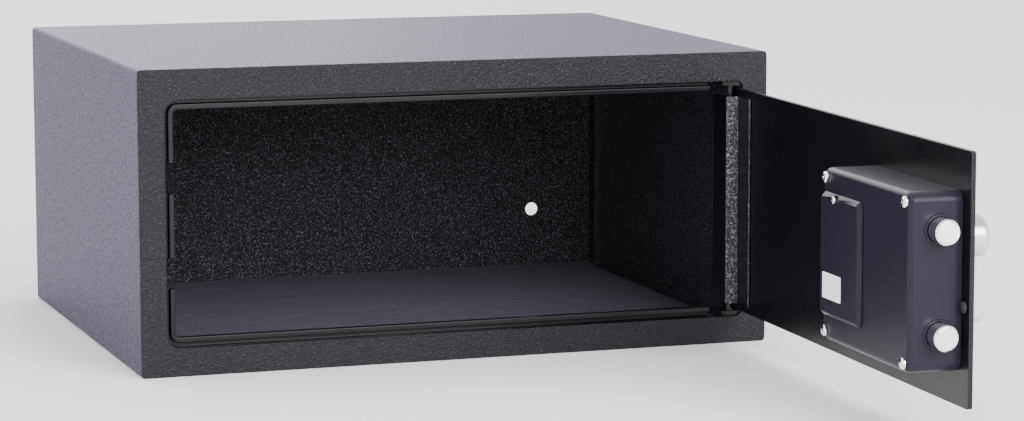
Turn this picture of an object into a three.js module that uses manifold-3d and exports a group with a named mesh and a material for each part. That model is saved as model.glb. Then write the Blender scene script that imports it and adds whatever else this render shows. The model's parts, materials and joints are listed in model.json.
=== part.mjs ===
// Laptop-size security safe with its door standing open.
// X runs along the width, Y from the front face into the safe and Z up. Pieces are drawn with
// the front face at Y = 0, and the whole is then moved back so that the origin is the centre of
// the flat underside.

import * as THREE from 'three';
import { mergeVertices } from 'three/addons/utils/BufferGeometryUtils.js';
import Module from 'manifold-3d';

const wasm = await Module();
wasm.setup();

// General clearances
const SEAT = 0.3;              // gap between two pieces that seat on each other
const RUN = 0.35;              // side gap of a piece that slides or turns in a hole
const ARC_STEPS = 2;           // a quarter circle has twice as many edges as this
const EDGE_STEPS = 3;          // flats in a rounded edge
const THROUGH = 2;             // how far a cutting tool runs past the face it cuts

// Body shell
const BODY_WIDTH = 435;
const BODY_DEPTH = 350;
const BODY_HEIGHT = 200;
const BODY_RADIUS = 2.5;
const WRAP_WALL = 1.5;
const FRONT_PLATE = 2;
const BACK_WALL = 1.5;
const BACK_FLANGE_DEPTH = 14;

// Wall anchor holes in the back panel
const ANCHOR_DIAMETER = 10;
const ANCHOR_INSET = 50.5;
const ANCHOR_HEIGHT = 49;

// Door opening in the front plate, with the folded channel that the door closes against
const FRAME_SIDE = 17.5;
const FRAME_HEAD = 20;
const FRAME_SILL = 18.5;
const OPENING_RADIUS = 9;
const HINGE_CORNER_RADIUS = 4.5;
const LIP_WALL = 1.5;
const LIP_DEPTH = 10;
const CHANNEL_GAP = 3;
const STOP_RIM = 3.5;
const HINGE_SIDE_RELIEF = 22;
const BOLT_NOTCH_GAP = 2;

// Carpet mat on the floor
const MAT_THICKNESS = 2.5;
const MAT_FRONT = 12;
const MAT_RISE_RUN = 9;

// Door leaf
const DOOR_SIDE_GAP = 4.5;
const DOOR_END_GAP = 4.75;
const DOOR_WALL = 3;
const DOOR_RECESS = 1.2;
const DOOR_RADIUS = 2;
const DOOR_REST_ANGLE = 88.5;

// Door hinge: two pins inside a folded channel, in brackets behind the front plate
const PIN_DIAMETER = 5;
const PIN_FROM_DOOR_EDGE = 2.1;
const PIN_GRIP = 20;
const PIN_COLLAR = 1;
const PIN_COLLAR_DIAMETER = 7.4;
const CHANNEL_END_GAP = 5;
const CHANNEL_WALL = 1.5;
const CHANNEL_DEPTH = 10.2;
const CHANNEL_LEAF = 20;
const CHANNEL_FROM_EDGE = 15.3;
const CHANNEL_HOOK = 9.5;
const BUSH_WALL = 0.9;
const BRACKET_WALL = 3;
const BRACKET_GAP = 1.6;
const BRACKET_REACH = 7.5;
const BRACKET_DEPTH = 19.7;
const BRACKET_DROP = 18;
const BRACKET_CORNER = 4;

// Lock housing on the inside of the door; u counts from the door's free edge
const HOUSING_FROM_EDGE = 10;
const HOUSING_WIDTH = 133;
const HOUSING_HEIGHT = 107;
const HOUSING_DEPTH = 34;
const HOUSING_WALL = 2;
const HOUSING_CORNER = 6.5;
const HOUSING_EDGE = 3.8;
const POST_RADIUS = 4.6;
const POST_INSET = 6;
const STUD_DIAMETER = 6;
const STUD_HEIGHT = 14;
const STUD_BORE = 6;
const SCREW_HEAD_DIAMETER = 7;
const SCREW_HEAD_HEIGHT = 2.2;
const SCREW_SHANK = 3.2;
const SCREW_LENGTH = 24.5;

// Boltwork
const BOLT_DIAMETER = 16;
const BOLT_SPACING = 62;
const BOLT_AXIS_DEPTH = 15;
const BOLT_PROUD = 3.2;         // how far a drawn-in bolt stands past the door's free edge
const BOLT_SHANK = 69.9;
const BOLT_CHAMFER = 1.2;
const TENON_DIAMETER = 8;
const RIVET_HEAD_DIAMETER = 11;
const RIVET_HEAD_HEIGHT = 1.8;
const BOLT_COLLAR_WALL = 1.5;
const BOLT_COLLAR_RISE = 0.8;
const GUIDE_WALL = 2;
const GUIDE_FROM_HOUSING = 2.3;
const GUIDE_DEPTH = 26;
const GUIDE_FOOT = 8;
const GUIDE_MARGIN = 11;
const GUIDE_TO_CRANK = 4;
const STEEL_CORNER = 2;
const CARRIAGE_WALL = 2;
const CARRIAGE_LIFT = 4.6;
const CARRIAGE_LENGTH = 30;
const CARRIAGE_FLANGE_DEPTH = 21.5;
const CARRIAGE_MARGIN = 11;
const STUD_GUIDE_DIAMETER = 6;
const STUD_GUIDE_HEAD = 10;
const STUD_GUIDE_HEAD_RISE = 1.4;
const STUD_GUIDE_CHAMFER = 0.8;
const STUD_GUIDE_DROP = 16;
const STUD_TO_CRANK = 2.3;

// Knob, spindle and crank
const KNOB_FROM_EDGE = 36;
const KNOB_HEIGHT = 97.2;
const KNOB_ABOVE_HOUSING = 22.7;
const KNOB_DIAMETER = 26.4;
const KNOB_REACH = 22;
const KNOB_DOME = 5;
const KNOB_DOME_STEPS = 5;
const KNOB_CHAMFER = 0.6;
const KNOB_LEVER_LENGTH = 52;
const KNOB_LEVER_ROOT = 13;
const KNOB_LEVER_TIP = 10;
const KNOB_LEVER_THICKNESS = 10;
const KNOB_LEVER_SETBACK = 1.2;
const KNOB_LEVER_BEVEL = 1.4;
const SPINDLE_DIAMETER = 8;
const SPINDLE_SQUARE = 5.4;
const SPINDLE_IN_KNOB = 15;
const KNOB_BUSH_WALL = 1.8;
const KNOB_BUSH_FLANGE = 3;
const KNOB_BUSH_FLANGE_THICKNESS = 0.9;
const CRANK_RADIUS = 11;
const CRANK_WALL = 2.2;
const CRANK_HUB_RADIUS = 7.5;
const CRANK_PIN_DIAMETER = 6;
const CRANK_LIFT = 0.5;
const CRANK_EYE_WALL = 2;
const CRANK_WEB_WALL = 1.5;
const CRANK_PIN_OVER = 0.05;
const CRANK_SLOT_PLAY = 0.75;
const KNOB_TURN = 90;
const CLIP_THICKNESS = 0.7;
const CLIP_CORNER = 0.2;

// Solenoid that holds the carriage
const TAIL_LENGTH = 48;
const TAIL_WIDTH = 8;
const TAIL_DROP = 8;
const NOTCH_DEPTH = 4.6;
const PLUNGER_DIAMETER = 6;
const PLUNGER_TRAVEL = 4;
const PLUNGER_FROM_CARRIAGE = 24;
const PLUNGER_AXIS_DEPTH = 7;
const PLUNGER_COLLAR_DIAMETER = 9.5;
const COIL_WIDTH = 20;
const COIL_HEIGHT = 26;
const COIL_DEPTH = 12;
const COIL_BORE_SHARE = 0.7;
const YOKE_WALL = 1.6;
const WINDING_INSET = 0.4;
const SOLENOID_FOOT = 6;
const SOLENOID_FOOT_INSET = 4;
const COLLAR_HEIGHT = 1.6;
const SPRING_WIRE = 0.8;
const SPRING_TURNS = 4;
const SPRING_LENGTH = 7;
const SPRING_STEPS = 8;

// Battery compartment and its cover
const TRAY_FROM_EDGE = 81;
const TRAY_WIDTH = 57;
const TRAY_HEIGHT = 67;
const TRAY_WALL = 1.2;
const TRAY_CORNER = 2;
const TRAY_FLOOR_DEPTH = 17;
const TRAY_LIFT = 18;
const CELL_DIAMETER = 14.2;
const CELL_LENGTH = 49;
const CELL_NUB = 1.2;
const CELL_NUB_RADIUS = 2.7;
const CELL_SHOULDER = 0.8;
const CELL_PITCH = 15.2;
const CELL_COUNT = 4;
const CONTACT_WALL = 0.6;
const CONTACT_INSET = 1;
const CONTACT_TIP = 2.2;
const CONTACT_NUB_BASE = 2.6;
const CONTACT_FLAT_BASE = 4.6;
const COVER_MARGIN = 2;
const COVER_HEAD = 7.5;
const COVER_RISE = 3.4;
const COVER_CORNER = 4;
const COVER_EDGE = 2.8;
const COVER_WALL = 1.4;
const COVER_SCREW_DIAMETER = 4.4;
const COVER_SCREW_RISE = 1.3;
const COVER_SCREW_SHANK = 2.8;
const COVER_SCREW_LENGTH = 5.2;
const COVER_SCREW_INSET = 3;
const COVER_SCREW_ASIDE = 6.5;
const COVER_BOSS_WALL = 0.6;
const FINGER_SLOT_WIDTH = 10;
const FINGER_SLOT_HEIGHT = 2.6;
const FINGER_SLOT_DEPTH = 0.8;
const FINGER_SLOT_DROP = 8.3;

// Control board
const BOARD_FROM_EDGE = 106;
const BOARD_WIDTH = 31;
const BOARD_HEIGHT = 42;
const BOARD_LIFT = 11;
const BOARD_WALL = 1.6;
const BOARD_PILLAR = 2;
const PILLAR_DIAMETER = 4;
const PILLAR_INSET = 3;
const BOARD_CORNER = 1;
const BOARD_BLOCKS = [         // from u, to u, from height, to height, rise: relay and chip
  [8, 20, 24, 36, 8],
  [7, 24, 9, 16, 1.8],
];
const BUZZER = [24.5, 23, 4.5, 5];   // u, height, radius, rise

// Keypad on the outside of the door
const PANEL_FROM_EDGE = 104;
const PANEL_WIDTH = 96;
const PANEL_HEIGHT = 80;
const PANEL_LIFT = 16.5;
const PANEL_RISE = 8;
const PANEL_CORNER = 8;
const PANEL_EDGE = 2.4;
const KEY_WIDTH = 14;
const KEY_HEIGHT = 10.5;
const KEY_RISE = 1.6;
const KEY_BODY = 4.2;
const KEY_RADIUS = 2;
const KEY_EDGE = 0.5;
const KEY_TRAVEL = 0.8;
const KEY_PITCH_U = 18;
const KEY_PITCH_Z = 14.5;
const KEY_FIRST_U = 42;
const KEY_FIRST_Z = 62;
const KEY_NAMES = [
  ['key_1', 'key_2', 'key_3'],
  ['key_4', 'key_5', 'key_6'],
  ['key_7', 'key_8', 'key_9'],
  ['key_star', 'key_0', 'key_hash'],
];
const LENS_WIDTH = 48;
const LENS_HEIGHT = 4;
const LENS_DEPTH = 1.5;
const LENS_ABOVE_KEYS = 11.5;
const LENS_CORNER = 1.5;

// Override lock beside the keys, under a sliding cover
const LOCK_FROM_PANEL = 16;
const LOCK_HEIGHT = 64;
const LOCK_DIAMETER = 16;
const PLUG_DIAMETER = 11;
const LOCK_LENGTH = 23;
const KEYWAY_WIDTH = 2;
const KEYWAY_HEIGHT = 8;
const KEYWAY_DEPTH = 7;
const CAM_WALL = 2;
const CAM_LENGTH = 15;
const CAM_RADIUS = 6;
const CAM_TIP = 7;
const SLIDER_SIZE = 22;
const SLIDER_WALL = 1.3;
const SLIDER_TRAVEL = 23;
const RAIL_WIDTH = 1.3;
const RAIL_RISE = 1.6;
const RAIL_CORNER = 1.5;
const RAIL_ROOT = 1;
const SLIDER_CORNER = 1;
const GROOVE_WIDTH = 12;
const GROOVE_HEIGHT = 1;
const GROOVE_DEPTH = 0.5;
const GROOVE_PITCH = 3;
const GROOVE_LIFT = 6;

// Rubber buffer stuck on the door between the housing and the free edge
const BUFFER_DIAMETER = 7.4;
const BUFFER_FROM_EDGE = 6;
const BUFFER_LIFT = 60;
const BUFFER_RISE = 2.6;

// Places worked out from the sizes above
const HALF_WIDTH = BODY_WIDTH / 2;
const INNER_WALL_X = HALF_WIDTH - WRAP_WALL;
const OPENING_X = HALF_WIDTH - FRAME_SIDE;
const OPENING_HEAD = BODY_HEIGHT - FRAME_HEAD;
const DOOR_X = OPENING_X - DOOR_SIDE_GAP;
const DOOR_BOTTOM = FRAME_SILL + DOOR_END_GAP;
const DOOR_TOP = OPENING_HEAD - DOOR_END_GAP;
const OUTER_FACE_Y = DOOR_RECESS;
const INNER_FACE_Y = DOOR_RECESS + DOOR_WALL;
const STOP_INSET = CHANNEL_GAP + STOP_RIM;
const HINGE_X = DOOR_X - PIN_FROM_DOOR_EDGE;
const HINGE_Y = INNER_FACE_Y + SEAT + PIN_DIAMETER / 2;
const KNOB_Z = DOOR_BOTTOM + KNOB_HEIGHT;
const HOUSING_Z = KNOB_Z - KNOB_ABOVE_HOUSING;
const HOUSING_BOTTOM = HOUSING_Z - HOUSING_HEIGHT / 2;
const BOLT_STROKE = 2 * CRANK_RADIUS * Math.sin(THREE.MathUtils.degToRad(KNOB_TURN / 2));
const CRANK_PIN_U = KNOB_FROM_EDGE + BOLT_STROKE / 2;
const CRANK_PIN_RISE = CRANK_RADIUS * Math.cos(THREE.MathUtils.degToRad(KNOB_TURN / 2));
const CARRIAGE_BACK = BOLT_SHANK - BOLT_PROUD + SEAT;
const CARRIAGE_FRONT = CARRIAGE_BACK - CARRIAGE_LENGTH;
const GUIDE_STUD_U = CARRIAGE_BACK - RUN - STUD_GUIDE_HEAD / 2 - BOLT_STROKE;
const GUIDE_STUD_HEIGHTS = [
  HOUSING_Z - STUD_GUIDE_DROP,
  KNOB_Z - CRANK_HUB_RADIUS - STUD_TO_CRANK - STUD_GUIDE_HEAD / 2,
];
const PLUNGER_U = CARRIAGE_BACK + PLUNGER_FROM_CARRIAGE;
const TAIL_Z = HOUSING_Z + TAIL_DROP;
const BOLT_HEIGHTS = [HOUSING_Z - BOLT_SPACING / 2, HOUSING_Z + BOLT_SPACING / 2];
const TRAY_BOTTOM = HOUSING_BOTTOM + TRAY_LIFT;
const TRAY_TOP = TRAY_BOTTOM + TRAY_HEIGHT;

// Finishes
const FINISHES = {
  shell: [0x6e6c77, 0.55, 0.35],
  frame: [0x4b4a50, 0.6, 0.3],
  liner: [0x1d1c21, 0.75, 0.2],
  leaf: [0x232229, 0.35, 0.3],
  plastic: [0x2b2a33, 0.4, 0.0],
  chrome: [0xe6e7ea, 0.12, 1.0],
  zinc: [0xb4b6b8, 0.38, 0.9],
  carpet: [0x34343f, 0.95, 0.0],
  cell: [0x3f5a63, 0.4, 0.2],
  board: [0x1f5136, 0.5, 0.0],
  lens: [0x5a1f24, 0.2, 0.0],
  key: [0xc9cacc, 0.5, 0.0],
  brass: [0xb89b57, 0.3, 0.9],
  rubber: [0x1b1b1e, 0.8, 0.0],
};
const materials = {};
for (const [name, [color, roughness, metalness]] of Object.entries(FINISHES)) {
  materials[name] = new THREE.MeshStandardMaterial({ name, color, roughness, metalness });
}

// Solids: a three.js geometry becomes a manifold for cuts and joins, and comes back at the end
function toSolid(shape) {
  if (!shape.isBufferGeometry) return shape;
  const bare = new THREE.BufferGeometry();
  bare.setAttribute('position', shape.getAttribute('position').clone());
  if (shape.index) bare.setIndex(shape.index.clone());
  const welded = mergeVertices(bare, 1e-4);
  const corners = welded.index.array;
  const kept = [];
  for (let i = 0; i < corners.length; i += 3) {
    const [a, b, c] = [corners[i], corners[i + 1], corners[i + 2]];
    if (a !== b && b !== c && c !== a) kept.push(a, b, c);
  }
  const vertProperties = new Float32Array(welded.getAttribute('position').array);
  return new wasm.Manifold(new wasm.Mesh({
    numProp: 3,
    vertProperties,
    triVerts: new Uint32Array(kept),
  }));
}

function toGeometry(shape) {
  if (shape.isBufferGeometry) return shape;
  const { vertProperties, triVerts } = shape.getMesh();
  const geometry = new THREE.BufferGeometry();
  geometry.setAttribute('position', new THREE.BufferAttribute(vertProperties, 3));
  geometry.setIndex(new THREE.BufferAttribute(triVerts, 1));
  geometry.computeVertexNormals();
  return geometry;
}

function join(...shapes) {
  return shapes.map(toSolid).reduce((whole, shape) => whole.add(shape));
}

function cut(whole, ...tools) {
  return tools.map(toSolid).reduce((rest, tool) => rest.subtract(tool), toSolid(whole));
}

function common(a, b) {
  return toSolid(a).intersect(toSolid(b));
}

// Outlines
function roundedRect(x0, x1, y0, y1, radius, rightRadius = radius) {
  const fit = (value) => Math.max(Math.min(value, (x1 - x0) / 2 - 0.001, (y1 - y0) / 2 - 0.001), 0.05);
  const r = fit(radius);
  const right = fit(rightRadius);
  const shape = new THREE.Shape();
  shape.absarc(x1 - right, y0 + right, right, -Math.PI / 2, 0);
  shape.absarc(x1 - right, y1 - right, right, 0, Math.PI / 2);
  shape.absarc(x0 + r, y1 - r, r, Math.PI / 2, Math.PI);
  shape.absarc(x0 + r, y0 + r, r, Math.PI, Math.PI * 1.5);
  shape.closePath();
  return shape;
}

function circle(x, y, radius) {
  const shape = new THREE.Shape();
  for (let quarter = 0; quarter < 4; quarter += 1) {
    shape.absarc(x, y, radius, quarter * Math.PI / 2, (quarter + 1) * Math.PI / 2);
  }
  shape.closePath();
  return shape;
}

function polygon(points) {
  return new THREE.Shape(points.map(([x, y]) => new THREE.Vector2(x, y)));
}

// Extrusions: an outline in (y, z), (x, z) or (x, y) runs along x, y or z
const AXES = {
  x: [[0, 1, 0], [0, 0, 1], [1, 0, 0]],
  y: [[1, 0, 0], [0, 0, 1], [0, -1, 0]],
  z: [[1, 0, 0], [0, 1, 0], [0, 0, 1]],
};

function extrude(shape, axis, from, to, bevel = 0, edgeSteps = EDGE_STEPS) {
  const geometry = new THREE.ExtrudeGeometry(shape, {
    depth: to - from - 2 * bevel,
    curveSegments: ARC_STEPS,
    bevelEnabled: bevel > 0,
    bevelThickness: bevel,
    bevelSize: bevel,
    bevelOffset: -bevel,
    bevelSegments: edgeSteps,
  });
  geometry.translate(0, 0, bevel);
  const [a, b, c] = AXES[axis].map((v) => new THREE.Vector3(...v));
  geometry.applyMatrix4(new THREE.Matrix4().makeBasis(a, b, c));
  const start = axis === 'y' ? to : from;
  const shift = { x: [start, 0, 0], y: [0, start, 0], z: [0, 0, start] }[axis];
  geometry.translate(...shift);
  return geometry;
}

function block(x0, x1, y0, y1, z0, z1) {
  const geometry = new THREE.BoxGeometry(x1 - x0, y1 - y0, z1 - z0);
  geometry.translate((x0 + x1) / 2, (y0 + y1) / 2, (z0 + z1) / 2);
  return geometry;
}

// A turned piece: profile points are (radius, distance along the axis)
function turned(profile, axis, origin, sides = 24) {
  const points = profile.map(([r, d]) => new THREE.Vector2(r, d));
  const geometry = new THREE.LatheGeometry(points, sides);
  if (axis === 'x') geometry.rotateZ(-Math.PI / 2);
  if (axis === 'z') geometry.rotateX(Math.PI / 2);
  geometry.translate(...origin);
  return geometry;
}

function rod(radius, axis, origin, from, to, sides = 24) {
  return turned([[0, from], [radius, from], [radius, to], [0, to]], axis, origin, sides);
}

function tube(outer, inner, axis, origin, from, to, sides = 24) {
  const profile = [[inner, from], [outer, from], [outer, to], [inner, to], [inner, from]];
  return turned(profile, axis, origin, sides);
}

// Scene graph
const safe = new THREE.Group();
safe.position.y = -BODY_DEPTH / 2;
const leaf = new THREE.Group();
leaf.position.set(HINGE_X, HINGE_Y, 0);
leaf.rotation.z = THREE.MathUtils.degToRad(DOOR_REST_ANGLE);
const leafFrame = new THREE.Group();
leafFrame.position.set(-HINGE_X, -HINGE_Y, 0);
leaf.add(leafFrame);
safe.add(leaf);

function place(parent, name, shape, finish) {
  const mesh = new THREE.Mesh(toGeometry(shape), materials[finish]);
  mesh.name = name;
  parent.add(mesh);
}

// Door coordinates with the door closed: u from the free edge, n from the inner face
const doorX = (u) => -DOOR_X + u;
const doorY = (n) => INNER_FACE_Y + n;

// Body shell
function bodyOutline(inset) {
  const x = HALF_WIDTH - inset;
  return roundedRect(-x, x, inset, BODY_HEIGHT - inset, BODY_RADIUS - inset);
}

function openingOutline(inset) {
  const x = OPENING_X - inset;
  return roundedRect(
    -x,
    x,
    FRAME_SILL + inset,
    OPENING_HEAD - inset,
    OPENING_RADIUS - inset,
    HINGE_CORNER_RADIUS - inset,
  );
}

function ring(outline, outer, inner, from, to) {
  const shape = outline(outer);
  shape.holes.push(outline(inner));
  return extrude(shape, 'y', from, to);
}

function bodyWrap() {
  return ring(bodyOutline, 0, WRAP_WALL, FRONT_PLATE, BODY_DEPTH);
}

function backPanel() {
  const edge = WRAP_WALL + SEAT;
  const base = extrude(bodyOutline(edge), 'y', BODY_DEPTH - BACK_WALL, BODY_DEPTH);
  const flange = ring(bodyOutline, edge, edge + BACK_WALL, BODY_DEPTH - BACK_FLANGE_DEPTH, BODY_DEPTH);
  const holes = [-1, 1].map((side) => rod(
    ANCHOR_DIAMETER / 2,
    'y',
    [side * (HALF_WIDTH - ANCHOR_INSET), 0, ANCHOR_HEIGHT],
    BODY_DEPTH - BACK_WALL - THROUGH,
    BODY_DEPTH + THROUGH,
  ));
  return cut(join(base, flange), ...holes);
}

// One folded sheet: plate, lip, web and the stop rim that the closed door meets.
// The fold stops short of the hinge side, where the brackets and the channel need the room, and
// its rim is notched where the bolts swing past.
function frontFrame() {
  const sheet = cut(
    extrude(bodyOutline(0), 'y', 0, FRONT_PLATE),
    extrude(openingOutline(0), 'y', -THROUGH, FRONT_PLATE + THROUGH),
  );
  const lip = ring(openingOutline, -LIP_WALL, 0, 0, LIP_DEPTH);
  const web = ring(openingOutline, -LIP_WALL, STOP_INSET, LIP_DEPTH - LIP_WALL, LIP_DEPTH);
  const rim = ring(openingOutline, CHANNEL_GAP, STOP_INSET, INNER_FACE_Y + SEAT, LIP_DEPTH);
  const relief = block(
    OPENING_X - HINGE_SIDE_RELIEF,
    HALF_WIDTH + THROUGH,
    FRONT_PLATE,
    LIP_DEPTH + THROUGH,
    -THROUGH,
    BODY_HEIGHT + THROUGH,
  );
  const reach = BOLT_DIAMETER / 2 + BOLT_NOTCH_GAP;
  const notches = BOLT_HEIGHTS.map((z) => block(
    -OPENING_X,
    THROUGH - OPENING_X + STOP_INSET,
    FRONT_PLATE,
    LIP_DEPTH + THROUGH,
    z - reach,
    z + reach,
  ));
  return join(sheet, cut(join(lip, web, rim), relief, ...notches));
}

// The mat lies on the floor and rides up over the back panel's folded flange
function floorMat() {
  const low = WRAP_WALL + SEAT;
  const high = WRAP_WALL + SEAT + BACK_WALL + SEAT;
  const x = HALF_WIDTH - high;
  const step = BODY_DEPTH - BACK_FLANGE_DEPTH - SEAT;
  const back = BODY_DEPTH - BACK_WALL - SEAT;
  const profile = polygon([
    [MAT_FRONT, low],
    [step - MAT_RISE_RUN, low],
    [step, high],
    [back, high],
    [back, high + MAT_THICKNESS],
    [step, high + MAT_THICKNESS],
    [step - MAT_RISE_RUN, low + MAT_THICKNESS],
    [MAT_FRONT, low + MAT_THICKNESS],
  ]);
  return extrude(profile, 'x', -x, x);
}

place(safe, 'body_wrap', bodyWrap(), 'shell');
place(safe, 'front_frame', frontFrame(), 'frame');
place(safe, 'back_panel', backPanel(), 'liner');
place(safe, 'floor_mat', floorMat(), 'carpet');

// Hinge brackets, bushes and pins; side is 1 at the top and -1 at the bottom
const BUSH_INNER = PIN_DIAMETER / 2 + RUN;
const BUSH_OUTER = BUSH_INNER + BUSH_WALL;

function bracketLevel(side) {
  const near = side > 0 ? DOOR_TOP + BRACKET_GAP : DOOR_BOTTOM - BRACKET_GAP;
  return [near, near + side * BRACKET_WALL];
}

function hingeBracket(side) {
  const [near, far] = bracketLevel(side);
  const front = FRONT_PLATE + SEAT;
  const wall = INNER_WALL_X - SEAT;
  const left = HINGE_X - BRACKET_REACH;
  const outline = roundedRect(left, wall, front, front + BRACKET_DEPTH, BRACKET_CORNER);
  outline.holes.push(circle(HINGE_X, HINGE_Y, BUSH_OUTER + SEAT));
  const shelf = extrude(outline, 'z', Math.min(near, far), Math.max(near, far));
  const tip = near - side * BRACKET_DROP;
  const flange = block(
    wall - BRACKET_WALL,
    wall,
    front,
    front + BRACKET_DEPTH,
    Math.min(tip, far),
    Math.max(tip, far),
  );
  return join(shelf, flange);
}

function hingeBush(side) {
  const [near, far] = bracketLevel(side);
  const ends = [Math.min(near, far), Math.max(near, far)];
  return tube(BUSH_OUTER, BUSH_INNER, 'z', [HINGE_X, HINGE_Y, 0], ...ends);
}

function hingePin(side) {
  const [near, far] = bracketLevel(side);
  const doorEnd = side > 0 ? DOOR_TOP : DOOR_BOTTOM;
  const inner = doorEnd - side * (CHANNEL_END_GAP + PIN_GRIP);
  const origin = [HINGE_X, HINGE_Y, 0];
  const outer = far - side * SEAT;
  const shaft = rod(PIN_DIAMETER / 2, 'z', origin, Math.min(inner, outer), Math.max(inner, outer), 16);
  const seat = near - side * SEAT;
  const collarEnd = seat - side * PIN_COLLAR;
  const collarRadius = PIN_COLLAR_DIAMETER / 2;
  const collar = rod(collarRadius, 'z', origin, Math.min(seat, collarEnd), Math.max(seat, collarEnd), 16);
  return side < 0 ? join(shaft, collar) : shaft;
}

for (const [end, side] of [['top', 1], ['bottom', -1]]) {
  place(safe, `hinge_bracket_${end}`, hingeBracket(side), 'frame');
  place(safe, `hinge_bush_${end}`, hingeBush(side), 'plastic');
  place(leafFrame, `hinge_pin_${end}`, hingePin(side), 'leaf');
}

// Folded hinge channel: a leaf on the door, a leg, and a hook that reaches behind the frame
function hingeChannel() {
  const leg = DOOR_X - CHANNEL_FROM_EDGE;
  const floor = doorY(SEAT);
  const top = doorY(SEAT + CHANNEL_DEPTH);
  const w = CHANNEL_WALL;
  const profile = polygon([
    [leg - CHANNEL_LEAF, floor],
    [leg + w, floor],
    [leg + w, top - w],
    [DOOR_X + CHANNEL_HOOK, top - w],
    [DOOR_X + CHANNEL_HOOK, top],
    [leg + w, top],
    [leg + w * 0.3, top - w * 0.3],
    [leg, top - w],
    [leg, floor + w],
    [leg - CHANNEL_LEAF, floor + w],
  ]);
  return extrude(profile, 'z', DOOR_BOTTOM + CHANNEL_END_GAP, DOOR_TOP - CHANNEL_END_GAP);
}

// Corners of the lock housing's screws, counted from its middle
const SCREW_U = HOUSING_WIDTH / 2 - POST_INSET;
const SCREW_Z = HOUSING_HEIGHT / 2 - POST_INSET;
const HOUSING_U = HOUSING_FROM_EDGE + HOUSING_WIDTH / 2;

function atScrews(make) {
  const made = [];
  for (const u of [-SCREW_U, SCREW_U]) {
    for (const z of [-SCREW_Z, SCREW_Z]) {
      made.push(make(doorX(HOUSING_U + u), HOUSING_Z + z));
    }
  }
  return made;
}

const LOCK_U = PANEL_FROM_EDGE + LOCK_FROM_PANEL;
const PANEL_BOTTOM = HOUSING_BOTTOM + PANEL_LIFT;
const LOCK_Z = PANEL_BOTTOM + LOCK_HEIGHT;
const PANEL_FACE = DOOR_WALL + SEAT + PANEL_RISE;
const KNOB_BUSH_INNER = SPINDLE_DIAMETER / 2 + RUN;
const KNOB_BUSH_OUTER = KNOB_BUSH_INNER + KNOB_BUSH_WALL;

function doorPlate() {
  const outline = roundedRect(-DOOR_X, DOOR_X, DOOR_BOTTOM, DOOR_TOP, DOOR_RADIUS);
  outline.holes.push(circle(doorX(KNOB_FROM_EDGE), KNOB_Z, KNOB_BUSH_OUTER + SEAT));
  outline.holes.push(circle(doorX(LOCK_U), LOCK_Z, LOCK_DIAMETER / 2 + SEAT));
  const sheet = extrude(outline, 'y', OUTER_FACE_Y, INNER_FACE_Y);
  return join(sheet, ...atScrews(threadedStud), ...GUIDE_STUD_HEIGHTS.map(guideStud));
}

// Welded stud with a blind thread for one of the housing's screws
function threadedStud(x, z) {
  const bore = SCREW_SHANK / 2 + SEAT;
  return turned([
    [0, -DOOR_WALL / 2],
    [STUD_DIAMETER / 2, -DOOR_WALL / 2],
    [STUD_DIAMETER / 2, STUD_HEIGHT],
    [bore, STUD_HEIGHT],
    [bore, STUD_HEIGHT - STUD_BORE],
    [0, STUD_HEIGHT - STUD_BORE],
  ], 'y', [x, INNER_FACE_Y, z], 12);
}

// Welded shouldered stud that a guide slot of the carriage runs on
function guideStud(z) {
  const neck = CARRIAGE_LIFT + CARRIAGE_WALL + SEAT;
  return turned([
    [0, -DOOR_WALL / 2],
    [STUD_GUIDE_HEAD / 2, -DOOR_WALL / 2],
    [STUD_GUIDE_HEAD / 2, CARRIAGE_LIFT - SEAT],
    [STUD_GUIDE_DIAMETER / 2, CARRIAGE_LIFT - SEAT],
    [STUD_GUIDE_DIAMETER / 2, neck],
    [STUD_GUIDE_HEAD / 2, neck],
    [STUD_GUIDE_HEAD / 2 - STUD_GUIDE_CHAMFER, neck + STUD_GUIDE_HEAD_RISE],
    [0, neck + STUD_GUIDE_HEAD_RISE],
  ], 'y', [doorX(GUIDE_STUD_U), INNER_FACE_Y, z], 16);
}

place(leafFrame, 'door_plate', doorPlate(), 'leaf');
place(leafFrame, 'hinge_channel', hingeChannel(), 'frame');

// Moulded lock housing: a rounded shell, open to the door, with four screw posts
function housingBox(inset, edge, from, to) {
  const u = HOUSING_FROM_EDGE + inset;
  const outline = roundedRect(
    doorX(u),
    doorX(HOUSING_FROM_EDGE + HOUSING_WIDTH - inset),
    HOUSING_BOTTOM + inset,
    HOUSING_BOTTOM + HOUSING_HEIGHT - inset,
    HOUSING_CORNER - inset,
  );
  return extrude(outline, 'y', doorY(from), doorY(to), edge);
}

function trayOutline(margin, radius) {
  return roundedRect(
    doorX(TRAY_FROM_EDGE - margin),
    doorX(TRAY_FROM_EDGE + TRAY_WIDTH + margin),
    TRAY_BOTTOM - margin,
    TRAY_TOP + margin,
    radius,
  );
}

const COVER_SCREW_U = TRAY_FROM_EDGE + TRAY_WIDTH / 2 + COVER_SCREW_ASIDE;
const COVER_SCREW_Z = TRAY_TOP + COVER_HEAD - COVER_SCREW_INSET;

const BOLT_HOLE = BOLT_DIAMETER / 2 + RUN;

function boltOrigin(z) {
  return [doorX(0), doorY(BOLT_AXIS_DEPTH), z];
}

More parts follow.
